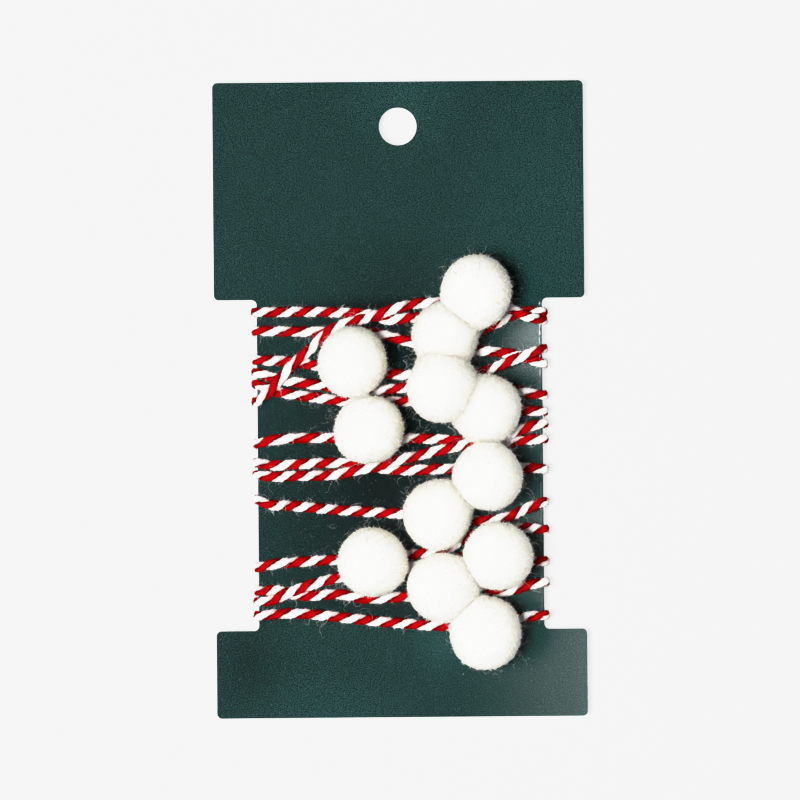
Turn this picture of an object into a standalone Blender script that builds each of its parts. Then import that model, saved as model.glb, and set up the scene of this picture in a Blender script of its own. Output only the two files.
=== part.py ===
"""Pompom twine wound on a notched card.

A 2 m length of red and white twine, strung with twelve felted pompoms, goes fourteen
times round the waist of an H-shaped card. The card lies on its back and rests on the
twine behind it. The tables are in millimetres and the meshes in metres. +X runs across
the card, +Y up the card and +Z away from the surface; the origin is on the surface,
under the middle of the card.
"""
import math
from collections import namedtuple

import bmesh
import bpy
from mathutils import Matrix, Vector

MM = 0.001
GAP = 0.3  # left between pieces that touch

# Winding card
CARD_WIDTH = 89.0
CARD_HEIGHT = 152.6
WAIST_WIDTH = 68.5
HEADER_HEIGHT = 52.2
FOOT_HEIGHT = 21.0
BOARD = 0.8
CORNER_RADIUS = 1.2
CORNER_STEPS = 4
HOLE_DIAMETER = 9.0
HOLE_FROM_TOP = 10.8
HOLE_SIDES = 32

# Twine, and how it is pressed out of round
TWINE = 2.4
HALF_WIDTH = TWINE / 2
SECTION_SIDES = 8
EDGE_HALF_WIDTH = 1.05
EDGE_THICKNESS = (1.6, 1.3, 1.0)  # where it meets the card's edge, on its corner, beside it
TIGHTENING = 2.6  # length over which a run flattens towards the edge
UNDER_THICKNESS = 1.1  # a run pressed under another
OVER_THICKNESS = 1.8  # the run on top of it, on the front
CLIMB = 3.0  # length over which a run climbs on to another
LONGEST_STEP = 9.0
SHORTEST_STEP = 1.1
BEND = 0.14  # a change of slope that gets a ring of its own
TAIL_END = 24.0  # how far from the card's middle line both ends lie, on the back
TAIL_SLANT = 0.4
SCAN_STEP = 0.25  # along a run, when looking for crossings

# Heights above the surface
CARD_MIDDLE = TWINE + GAP + BOARD / 2
CARD_TOP = CARD_MIDDLE + BOARD / 2
FACE = BOARD / 2 + GAP  # from the card's middle plane to the twine that lies on it
EDGE = WAIST_WIDTH / 2

# Pompoms
HEIGHT_SHARE = 0.93  # height over width
UNEVENNESS = 0.012
THREAD_RISE = 2.5  # of the twine inside a pompom
THREAD_FULL = 0.35  # share of the radius with the whole rise
THREAD_END = 1.06  # share of the radius where the rise ends
BALL_DETAIL = 3
SHARP_ANGLE = 40.0  # degrees, at the rims of a pompom's hollows
SEE_THROUGH = 1.25  # a cutter's length over the pompom's radius
ROOM = 0.4  # upright round a run in a pompom, so that the gap is kept where the run climbs

# One row for each turn of twine, in the order of winding. front: points (x, y) on the
# card's face from its left edge to its right edge. back: points behind the card between
# the run's right end and the next run's left end, where that stretch isn't straight.
Run = namedtuple("Run", "name front back")
RUNS = [
    Run("a", [(-EDGE, 21.2), (-14.9, 21.0), (-7.2, 20.4), (-2.4, 19.1), (2.7, 19.6), (9.7, 18.4),
              (18.2, 16.0), (23.0, 18.0), (26.9, 20.1), (EDGE, 22.1)], []),
    Run("b", [(-EDGE, 16.7), (-19.7, 16.4), (-11.4, 16.5), (-5.6, 15.9), (1.6, 14.0), (9.7, 12.7),
              (18.5, 11.6), (26.5, 10.7), (EDGE, 8.4)], []),
    Run("c", [(-EDGE, 9.7), (-26.2, 9.3), (-20.2, 8.3), (-11.5, 7.4), (-3.6, 6.3), (2.1, 5.9),
              (10.8, 6.6), (19.6, 6.4), (26.5, 9.0), (EDGE, 11.9)], [(-5.8, 11.7), (-25.0, 6.9)]),
    Run("d", [(-EDGE, 6.7), (-28.8, 5.0), (-22.5, 4.0), (-18.0, 3.4), (-12.0, 2.6), (-6.2, 2.2),
              (1.9, 2.9), (9.9, 3.2), (18.0, 3.3), (24.0, 2.9), (31.2, 1.2), (EDGE, 0.8)], []),
    Run("e", [(-EDGE, 4.0), (-29.8, 2.2), (-24.4, 1.2), (-18.8, 0.4), (-14.3, -0.2), (-5.1, -0.6),
              (2.1, -0.5), (9.6, -0.9), (20.8, -2.3), (29.0, -2.9), (EDGE, -3.1)], []),
    Run("f", [(-EDGE, -0.3), (-31.1, 2.4), (-28.0, 6.0), (-25.2, 9.0), (-20.5, 13.1),
              (-18.7, 14.9), (-15.9, 17.1), (-12.7, 18.4), (-8.3, 19.4), (-1.3, 21.7), (2.7, 22.7),
              (9.7, 23.2), (18.9, 22.5), (25.5, 22.0), (30.0, 20.4), (EDGE, 19.0)], []),
    Run("g", [(-EDGE, -10.4), (-31.2, -9.6), (-26.6, -9.2), (-7.8, -9.4), (9.1, -9.6),
              (20.7, -10.7), (25.6, -10.6), (29.1, -10.1), (EDGE, -9.7)], []),
    Run("h", [(-EDGE, -15.0), (-31.7, -15.5), (-23.6, -15.3), (-14.4, -15.1), (-7.4, -16.1),
              (-0.8, -16.9), (9.4, -16.8), (20.7, -16.6), (29.0, -16.6), (EDGE, -16.9)], []),
    Run("i", [(-EDGE, -17.9), (-31.7, -18.2), (-25.2, -18.1), (-15.9, -17.9), (-7.2, -16.2),
              (2.3, -13.9), (9.0, -12.4), (20.2, -10.0), (26.3, -8.6), (31.9, -6.5), (EDGE, -6.0)],
        []),
    Run("j", [(-EDGE, -23.8), (-32.4, -24.8), (-27.6, -25.2), (-11.1, -26.7), (0.5, -27.5),
              (8.8, -28.3), (17.0, -29.2), (25.6, -28.4), (30.7, -26.2), (EDGE, -24.8)], []),
    Run("k", [(-EDGE, -40.1), (-32.2, -39.5), (-26.1, -38.9), (-15.6, -38.3), (-7.1, -38.1),
              (1.5, -37.4), (7.1, -36.5), (12.2, -35.4), (16.2, -32.7), (18.9, -32.3),
              (25.6, -31.8), (28.8, -31.0), (EDGE, -31.5)], []),
    Run("l", [(-EDGE, -45.7), (-30.0, -45.6), (-24.6, -46.8), (-13.6, -46.8), (-10.5, -47.5),
              (-2.7, -47.5), (2.2, -47.2), (9.9, -46.6), (18.7, -45.6), (24.8, -46.3),
              (31.5, -44.5), (EDGE, -44.1)], []),
    Run("m", [(-EDGE, -48.3), (-31.9, -48.1), (-27.6, -46.4), (-21.5, -44.2), (-15.4, -42.7),
              (-7.1, -41.2), (1.5, -40.2), (9.2, -39.0), (15.0, -38.0), (23.4, -38.6),
              (EDGE, -39.1)], []),
    Run("n", [(-EDGE, -51.6), (-26.4, -51.1), (-19.6, -51.6), (-12.7, -52.4), (-0.3, -53.7),
              (11.7, -54.4), (20.4, -53.5), (27.5, -52.6), (EDGE, -52.0)], []),
]

# One row for each pompom: its centre on the card, its radius, how far what lies under it
# lifts it, the run it is strung on and the pompoms that it presses into.
Pompom = namedtuple("Pompom", "name x y radius lift run presses")
POMPOMS = [
    Pompom("pompom_01", 19.0, 25.7, 8.4, 2.0, "f", ["pompom_02"]),
    Pompom("pompom_02", 10.5, 15.6, 8.1, 0.0, "a", []),
    Pompom("pompom_03", -11.4, 9.0, 8.4, 0.0, "c", []),
    Pompom("pompom_04", 9.8, 2.6, 8.2, 2.6, "d", ["pompom_02", "pompom_05"]),
    Pompom("pompom_05", 20.8, -2.3, 8.2, 0.0, "e", []),
    Pompom("pompom_06", -7.8, -7.3, 8.5, 0.0, "g", ["pompom_03"]),
    Pompom("pompom_07", 20.7, -18.3, 8.5, 2.0, "h", ["pompom_05", "pompom_08"]),
    Pompom("pompom_08", 8.8, -27.6, 8.3, 0.0, "j", []),
    Pompom("pompom_09", 23.4, -37.8, 8.4, 2.0, "m", ["pompom_11"]),
    Pompom("pompom_10", -7.1, -39.5, 8.4, 0.9, "k", []),
    Pompom("pompom_11", 9.9, -45.1, 8.4, 0.6, "l", []),
    Pompom("pompom_12", 20.4, -56.1, 8.6, 0.0, "n", ["pompom_11"]),
]

# Finish: colour, roughness
CARD_GREEN = ((0.020, 0.052, 0.045, 1.0), 0.55)
TWINE_RED = ((0.560, 0.010, 0.016, 1.0), 0.85)
POMPOM_WHITE = ((0.860, 0.845, 0.790, 1.0), 0.95)


def clear_scene():
    for thing in list(bpy.data.objects):
        bpy.data.objects.remove(thing, do_unlink=True)


def make_material(name, finish):
    colour, roughness = finish
    material = bpy.data.materials.new(name)
    material.use_nodes = True
    shader = material.node_tree.nodes["Principled BSDF"]
    shader.inputs["Base Color"].default_value = colour
    shader.inputs["Roughness"].default_value = roughness
    shader.inputs["Metallic"].default_value = 0.0
    material.diffuse_color = colour
    return material


def add_object(name, bm, material=None):
    """Puts a bmesh made in millimetres into the scene in metres."""
    bmesh.ops.scale(bm, vec=Vector((MM, MM, MM)), verts=bm.verts)
    mesh = bpy.data.meshes.new(name)
    bm.to_mesh(mesh)
    bm.free()
    thing = bpy.data.objects.new(name, mesh)
    bpy.context.collection.objects.link(thing)
    if material:
        mesh.materials.append(material)
    return thing


def carve(target, cutter):
    """Cuts one shape out of another and removes the cutter."""
    cut = target.modifiers.new("cut", "BOOLEAN")
    cut.operation = "DIFFERENCE"
    cut.solver = "EXACT"
    cut.object = cutter
    bpy.context.view_layer.update()
    evaluated = target.evaluated_get(bpy.context.evaluated_depsgraph_get())
    carved = bpy.data.meshes.new_from_object(evaluated)
    target.modifiers.remove(cut)
    target.data = carved
    bpy.data.objects.remove(cutter, do_unlink=True)


def ease(t):
    t = min(max(t, 0.0), 1.0)
    return t * t * (3.0 - 2.0 * t)


class Route:
    """A smooth height y over x through a run's points, given from low x to high x."""

    def __init__(self, points):
        self.points = points
        chords = [(q[1] - p[1]) / (q[0] - p[0]) for p, q in zip(points, points[1:])]
        spans = [q[0] - p[0] for p, q in zip(points, points[1:])]
        inner = [
            (chords[i] * spans[i + 1] + chords[i + 1] * spans[i]) / (spans[i] + spans[i + 1])
            for i in range(len(chords) - 1)
        ]
        self.slopes = [chords[0]] + inner + [chords[-1]]

    def at(self, x):
        """Height and slope at x."""
        last = len(self.points) - 2
        i = 0
        while i < last and x > self.points[i + 1][0]:
            i += 1
        (x0, y0), (x1, y1) = self.points[i], self.points[i + 1]
        span = x1 - x0
        t = (x - x0) / span
        m0, m1 = self.slopes[i] * span, self.slopes[i + 1] * span
        y = (2 * t**3 - 3 * t**2 + 1) * y0 + (t**3 - 2 * t**2 + t) * m0
        y += (3 * t**2 - 2 * t**3) * y1 + (t**3 - t**2) * m1
        slope = (6 * t**2 - 6 * t) * y0 + (3 * t**2 - 4 * t + 1) * m0
        slope += (6 * t - 6 * t**2) * y1 + (3 * t**2 - 2 * t) * m1
        return y, slope / span


def firm(x):
    """0 at the card's side edges, where the twine is pressed flat, and 1 away from them."""
    return ease((EDGE - abs(x)) / TIGHTENING)


def half_width(x):
    return EDGE_HALF_WIDTH + (HALF_WIDTH - EDGE_HALF_WIDTH) * firm(x)


def overlap_stretches(upper, lower):
    """Stretches of x where two routes on one side of the card lie closer than they are wide."""
    found, start = [], None
    count = round(2 * EDGE / SCAN_STEP)
    for n in range(count + 1):
        x = n * SCAN_STEP - EDGE
        (y1, slope1), (y2, slope2) = upper.at(x), lower.at(x)
        reach = half_width(x) * (math.hypot(1, slope1) + math.hypot(1, slope2)) + GAP
        close = abs(y1 - y2) < reach
        if close and start is None:
            start = x
        if start is not None and (not close or n == count):
            found.append((start, x))
            start = None
    return found


def merged(stretches):
    """The same stretches in order, joined where less than a climb lies between them."""
    joined = []
    for a, b in sorted(stretches):
        if joined and a - joined[-1][1] < CLIMB:
            joined[-1] = (joined[-1][0], max(b, joined[-1][1]))
        else:
            joined.append((a, b))
    return joined


def share(x, stretches):
    """1 within the stretches, falling to 0 over the climb beside them and at the card's edge."""
    most = 0.0
    for a, b in stretches:
        away = max(a - x, x - b, 0.0)
        most = max(most, ease(1.0 - away / CLIMB))
    return most * ease((EDGE - abs(x)) / SHORTEST_STEP)


class Stretch:
    """One pass of twine across one side of the card.

    over and under are the stretches of x where it lies on another run or under one, and
    pompom is the one strung on it.
    """

    def __init__(self, points, front, low=-EDGE, high=EDGE):
        self.route = Route(points)
        self.front = front
        self.low, self.high = low, high
        self.over, self.under = [], []
        self.pompom = None

    def thread_rise(self, x):
        if not self.pompom:
            return 0.0
        away = abs(x - self.pompom.x) / self.pompom.radius
        part = (THREAD_END - away) / (THREAD_END - THREAD_FULL)
        return (THREAD_RISE + self.pompom.lift) * ease(part)

    def base_and_thickness(self, x):
        """How far the twine's inner side stands off its usual place, and its thickness."""
        over, under = share(x, self.over), share(x, self.under)
        upper = OVER_THICKNESS if self.front else TWINE - UNDER_THICKNESS - GAP
        thickness = min(
            TWINE - (TWINE - upper) * over,
            TWINE - (TWINE - UNDER_THICKNESS) * under,
            EDGE_THICKNESS[0] + (TWINE - EDGE_THICKNESS[0]) * firm(x),
        )
        return max((UNDER_THICKNESS + GAP) * over, self.thread_rise(x)), thickness

    def stations(self):
        """The x of each ring, at the ends, at bends and where the height changes."""
        wanted = [self.low, self.high]
        points = self.route.points
        chords = [(q[1] - p[1]) / (q[0] - p[0]) for p, q in zip(points, points[1:])]
        for point, before, after in zip(points[1:], chords, chords[1:]):
            if abs(after - before) > BEND:
                wanted.append(point[0])
        for a, b in self.over + self.under:
            wanted += [a - CLIMB, a, b, b + CLIMB]
        if self.pompom:
            for part in (THREAD_FULL, (THREAD_FULL + THREAD_END) / 2, THREAD_END):
                away = part * self.pompom.radius
                wanted += [self.pompom.x - away, self.pompom.x + away]
        wanted += [SHORTEST_STEP - EDGE, EDGE - SHORTEST_STEP, TIGHTENING - EDGE, EDGE - TIGHTENING]
        kept = [self.low]
        for x in sorted(x for x in wanted if self.low < x <= self.high):
            if x == self.high and x - kept[-1] < SHORTEST_STEP and len(kept) > 1:
                kept.pop()
            if round(x - kept[-1], 3) >= SHORTEST_STEP:
                start = kept[-1]
                pieces = math.ceil((x - start) / LONGEST_STEP)
                kept += [start + (x - start) * n / pieces for n in range(1, pieces + 1)]
        return kept


def plan_twine():
    """All passes in the order of winding: front and back in turn, with the tails on the back."""
    fronts = [Stretch(run.front, True) for run in RUNS]
    backs = []
    for run, following in zip(RUNS, RUNS[1:]):
        points = [run.front[-1]] + run.back + [following.front[0]]
        backs.append(Stretch(points[::-1], False))
    for passes in (fronts, backs):
        for n, upper in enumerate(passes):
            for lower in passes[:n]:
                for close in overlap_stretches(upper.route, lower.route):
                    upper.over.append(close)
                    lower.under.append(close)
        for one in passes:
            one.over, one.under = merged(one.over), merged(one.under)
    for pompom in POMPOMS:
        number = [run.name for run in RUNS].index(pompom.run)
        fronts[number].pompom = pompom
    first, last = RUNS[0].front[0], RUNS[-1].front[-1]
    head = Stretch([first, (-TAIL_END, first[1] + TAIL_SLANT)], False, high=-TAIL_END)
    tail = Stretch([(TAIL_END, last[1] - TAIL_SLANT), last], False, low=TAIL_END)
    return fronts, backs, head, tail


Ring = namedtuple("Ring", "centre lateral normal half_width half_thickness")


def side_ring(stretch, x):
    """A ring of twine on the card's front or back."""
    y, slope = stretch.route.at(x)
    base, thickness = stretch.base_and_thickness(x)
    turn = math.atan(slope) * firm(x)
    out = 1.0 if stretch.front else -1.0
    centre = Vector((x, y, CARD_MIDDLE + out * (FACE + base + thickness / 2)))
    lateral = Vector((-math.sin(turn), math.cos(turn), 0.0))
    return Ring(centre, lateral, Vector((0.0, 0.0, out)), half_width(x), thickness / 2)


def edge_rings(side, y_from, y_to, front_first):
    """The rings where the twine goes round the card's edge at x = side * EDGE."""
    rings = []
    for n, angle in enumerate((45.0, 0.0, -45.0)):
        thickness = EDGE_THICKNESS[2] if angle == 0.0 else EDGE_THICKNESS[1]
        up = math.radians(angle if front_first else -angle)
        normal = Vector((side * math.cos(up), 0.0, math.sin(up)))
        corner = Vector((side * EDGE, 0.0, CARD_MIDDLE + math.copysign(BOARD / 2, up)))
        if angle == 0.0:
            corner.z = CARD_MIDDLE
        centre = corner + normal * (GAP + thickness / 2)
        centre.y = y_from + (y_to - y_from) * (n + 1) / 4
        rings.append(Ring(centre, Vector((0, 1, 0)), normal, EDGE_HALF_WIDTH, thickness / 2))
    return rings


def twine_rings():
    fronts, backs, head, tail = plan_twine()
    rings = [side_ring(head, x) for x in reversed(head.stations())]
    for n, front in enumerate(fronts):
        behind = backs[n - 1] if n else head
        ahead = backs[n] if n < len(backs) else tail
        left, right = front.route.points[0][1], front.route.points[-1][1]
        rings += edge_rings(-1, behind.route.points[0][1], left, False)
        rings += [side_ring(front, x) for x in front.stations()]
        rings += edge_rings(1, right, ahead.route.points[-1][1], True)
        rings += [side_ring(ahead, x) for x in reversed(ahead.stations())]
    return rings


def section(half_width, half_thickness):
    """An eight-sided section with a flat top and bottom."""
    slice_angle = 2 * math.pi / SECTION_SIDES
    points = []
    for n in range(SECTION_SIDES):
        angle = slice_angle * (n + 0.5)
        across = half_width * math.cos(angle) / math.cos(slice_angle / 2)
        through = half_thickness * math.sin(angle) / math.cos(slice_angle / 2)
        points.append((across, through))
    return points


def skin_rings(bm, loops):
    """Joins closed loops of points, one after the other, and closes both ends."""
    rows = [[bm.verts.new(point) for point in loop] for loop in loops]
    for row, following in zip(rows, rows[1:]):
        for n in range(len(row)):
            m = (n + 1) % len(row)
            bm.faces.new((row[n], row[m], following[m], following[n]))
    bm.faces.new(rows[0][::-1])
    bm.faces.new(rows[-1])
    bmesh.ops.recalc_face_normals(bm, faces=bm.faces)


def build_twine(material):
    bm = bmesh.new()
    loops = []
    for ring in twine_rings():
        loops.append([
            ring.centre + ring.lateral * across + ring.normal * through
            for across, through in section(ring.half_width, ring.half_thickness)
        ])
    skin_rings(bm, loops)
    twine = add_object("twine", bm, material)
    twine.data.shade_smooth()
    return twine


def card_outline():
    """The card's outline as corner points with the way each one is rounded."""
    half, waist, top = CARD_WIDTH / 2, WAIST_WIDTH / 2, CARD_HEIGHT / 2
    shoulder, hip = top - HEADER_HEIGHT, FOOT_HEIGHT - top
    right = [(half, top), (half, shoulder), (waist, shoulder), (waist, hip), (half, hip), (half, -top)]
    corners = right + [(-x, y) for x, y in reversed(right)]
    points = []
    for n, corner in enumerate(corners):
        here = Vector(corner)
        back = (Vector(corners[n - 1]) - here).normalized() * CORNER_RADIUS
        ahead = (Vector(corners[(n + 1) % len(corners)]) - here).normalized() * CORNER_RADIUS
        centre = here + back + ahead
        for step in range(CORNER_STEPS + 1):
            angle = math.pi / 2 * step / CORNER_STEPS
            points.append(centre - ahead * math.cos(angle) - back * math.sin(angle))
    return points


def build_card(material):
    bm = bmesh.new()
    under = CARD_TOP - BOARD
    face = bm.faces.new([bm.verts.new((p.x, p.y, under)) for p in card_outline()])
    extruded = bmesh.ops.extrude_face_region(bm, geom=[face])["geom"]
    raised = [part for part in extruded if isinstance(part, bmesh.types.BMVert)]
    bmesh.ops.translate(bm, vec=(0.0, 0.0, BOARD), verts=raised)
    bmesh.ops.recalc_face_normals(bm, faces=bm.faces)
    card = add_object("card", bm, material)
    punch = bmesh.new()
    place = Matrix.Translation((0.0, CARD_HEIGHT / 2 - HOLE_FROM_TOP, CARD_MIDDLE))
    bmesh.ops.create_cone(
        punch, cap_ends=True, segments=HOLE_SIDES, radius1=HOLE_DIAMETER / 2,
        radius2=HOLE_DIAMETER / 2, depth=4 * BOARD, matrix=place,
    )
    carve(card, add_object("punch", punch))
    return card


def ball_centre(pompom):
    height = CARD_TOP + GAP + pompom.lift + pompom.radius * HEIGHT_SHARE
    return Vector((pompom.x, pompom.y, height))


def ball(pompom, grown=0.0):
    """A slightly uneven, slightly flattened ball, grown to press into its neighbour."""
    number = POMPOMS.index(pompom)
    bm = bmesh.new()
    bmesh.ops.create_icosphere(bm, subdivisions=BALL_DETAIL, radius=1.0)
    bmesh.ops.rotate(bm, cent=(0, 0, 0), matrix=Matrix.Rotation(number, 3, (1, 2, 3)), verts=bm.verts)
    for vert in bm.verts:
        way = vert.co.normalized()
        swell = math.sin(3 * way.x + number) + math.cos(4 * way.y - 2 * number)
        size = pompom.radius * (1 + UNEVENNESS * swell) + grown
        vert.co = Vector((way.x, way.y, way.z * HEIGHT_SHARE)) * size
    bmesh.ops.translate(bm, vec=ball_centre(pompom), verts=bm.verts)
    lowest = CARD_TOP + GAP
    for vert in bm.verts:
        if not grown:
            vert.co.z = max(vert.co.z, lowest)
    return bm


def rings_within(pompom, stretch):
    """The rings of a run from one side of a pompom to the other, and a little further."""
    reach = pompom.radius * SEE_THROUGH
    low, high = pompom.x - reach, pompom.x + reach
    inside = [x for x in stretch.stations() if low < x < high]
    return [side_ring(stretch, x) for x in [low] + inside + [high]]


def thread_cutter(pompom, stretch):
    """The twine's own path through a pompom, wider by the gap all round."""
    loops = []
    for ring in rings_within(pompom, stretch):
        loops.append([
            ring.centre + ring.lateral * across + ring.normal * through
            for across, through in section(ring.half_width + ROOM, ring.half_thickness + ROOM)
        ])
    bm = bmesh.new()
    skin_rings(bm, loops)
    return add_object("thread_cutter", bm)


def groove_cutter(pompom, stretch):
    """Room under a pompom for a run that only passes below it, or None where it clears."""
    loops, tight = [], False
    for ring in rings_within(pompom, stretch):
        side, upright = ring.half_width + ROOM, ring.half_thickness + ROOM
        away = math.hypot(ring.centre.x - pompom.x, ring.centre.y - pompom.y) - side
        left = 1 - (max(away, 0.0) / pompom.radius) ** 2
        if left > 0:
            low = ball_centre(pompom).z - HEIGHT_SHARE * pompom.radius * math.sqrt(left)
            tight = tight or low < ring.centre.z + upright
        upper = [(a, z) for a, z in section(side, upright) if z > 0]
        profile = [(-side, CARD_MIDDLE - ring.centre.z), (side, CARD_MIDDLE - ring.centre.z)] + upper
        loops.append([ring.centre + ring.lateral * a + Vector((0, 0, z)) for a, z in profile])
    if not tight:
        return None
    bm = bmesh.new()
    skin_rings(bm, loops)
    return add_object("groove_cutter", bm)


def build_pompoms(material):
    fronts = plan_twine()[0]
    for pompom in POMPOMS:
        thing = add_object(pompom.name, ball(pompom), material)
        for other in POMPOMS:
            if pompom.name in other.presses:
                carve(thing, add_object("press", ball(other, GAP)))
        for run, stretch in zip(RUNS, fronts):
            if run.name == pompom.run:
                cutter = thread_cutter(pompom, stretch)
            else:
                cutter = groove_cutter(pompom, stretch)
            if cutter:
                carve(thing, cutter)
        thing.data.shade_smooth()
        thing.data.set_sharp_from_angle(angle=math.radians(SHARP_ANGLE))


def main():
    clear_scene()
    build_card(make_material("card_green", CARD_GREEN))
    build_twine(make_material("twine_red", TWINE_RED))
    build_pompoms(make_material("pompom_white", POMPOM_WHITE))


main()
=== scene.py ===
"""Finish of a pompom twine wound on a notched card.

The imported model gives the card, the twine's path and the pompoms. This add-on dresses them: a
printed board with a pale cut edge, a twine of one red and one white strand twisted together,
felted pompoms with their pile, loose fibres, and a pale studio.
Lengths in the tables and in the winding are in millimetres, and meshes are in metres.
"""
import math
from collections import namedtuple
from itertools import groupby

import bpy
import numpy as np
from bpy.props import FloatProperty, FloatVectorProperty, IntProperty, PointerProperty
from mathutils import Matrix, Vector


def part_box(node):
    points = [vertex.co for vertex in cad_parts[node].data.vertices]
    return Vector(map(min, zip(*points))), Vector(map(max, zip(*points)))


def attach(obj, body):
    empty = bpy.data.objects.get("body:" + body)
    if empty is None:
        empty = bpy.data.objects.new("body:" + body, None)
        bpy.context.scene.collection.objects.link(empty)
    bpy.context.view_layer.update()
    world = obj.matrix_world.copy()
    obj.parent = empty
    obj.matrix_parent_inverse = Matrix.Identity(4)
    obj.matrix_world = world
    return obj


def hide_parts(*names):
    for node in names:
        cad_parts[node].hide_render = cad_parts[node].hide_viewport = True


bl_info = {
    "name": "Pompom twine on a winding card",
    "version": (1, 0, 0),
    "blender": (4, 5, 0),
    "location": "3D View > Sidebar > Pompom twine",
    "description": "Dresses a wound pompom twine and its card",
    "category": "Object",
}

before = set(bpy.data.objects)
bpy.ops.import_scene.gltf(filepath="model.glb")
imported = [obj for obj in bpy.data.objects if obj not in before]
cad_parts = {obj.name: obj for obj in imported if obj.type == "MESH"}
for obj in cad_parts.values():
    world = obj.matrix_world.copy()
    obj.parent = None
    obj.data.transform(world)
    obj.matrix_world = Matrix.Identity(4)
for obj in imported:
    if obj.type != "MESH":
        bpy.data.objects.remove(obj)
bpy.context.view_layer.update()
CARD_LOW, CARD_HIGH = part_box("card")
MM = 0.001

# Heights and sizes of the winding, in millimetres
CLEARANCE = 0.3  # between the solids
BOARD = (CARD_HIGH.z - CARD_LOW.z) / MM
CARD_MIDDLE = (CARD_HIGH.z + CARD_LOW.z) / 2 / MM
CARD_TOP = CARD_HIGH.z / MM
PILE_FLOOR, HAIR_FLOOR, FELT_FLOOR = CARD_TOP + 0.02, CARD_TOP + 0.05, CARD_TOP + 0.08
FACE = BOARD / 2 + CLEARANCE
EDGE = 34.25  # from the card's middle line to the side of its waist
TWINE = CARD_LOW.z / MM - CLEARANCE  # how thick the twine is
HALF_WIDTH = TWINE / 2
EDGE_HALF_WIDTH = 1.05
EDGE_THICKNESS = (1.6, 1.0)  # where the twine meets the card's edge, and beside it
TIGHTENING = 2.6  # how far in from the edge the twine is pressed flat
UNDER_THICKNESS = 1.1  # of twine that another turn presses down
OVER_THICKNESS = 1.8  # of twine that lies across another turn
CLIMB = 3.0  # length over which the twine climbs onto another turn
EDGE_EASE = 1.1  # how far in from the edge a crossing is pressed down again
TAIL_END = 24.0  # from the middle line to the twine's cut ends, on the back
TAIL_SLANT = 0.4
SCAN_STEP = 0.25  # between places where passes are compared
TWINE_SEED, POMPOM_SEED, LINT_SEED = 11, 100, 5

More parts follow.
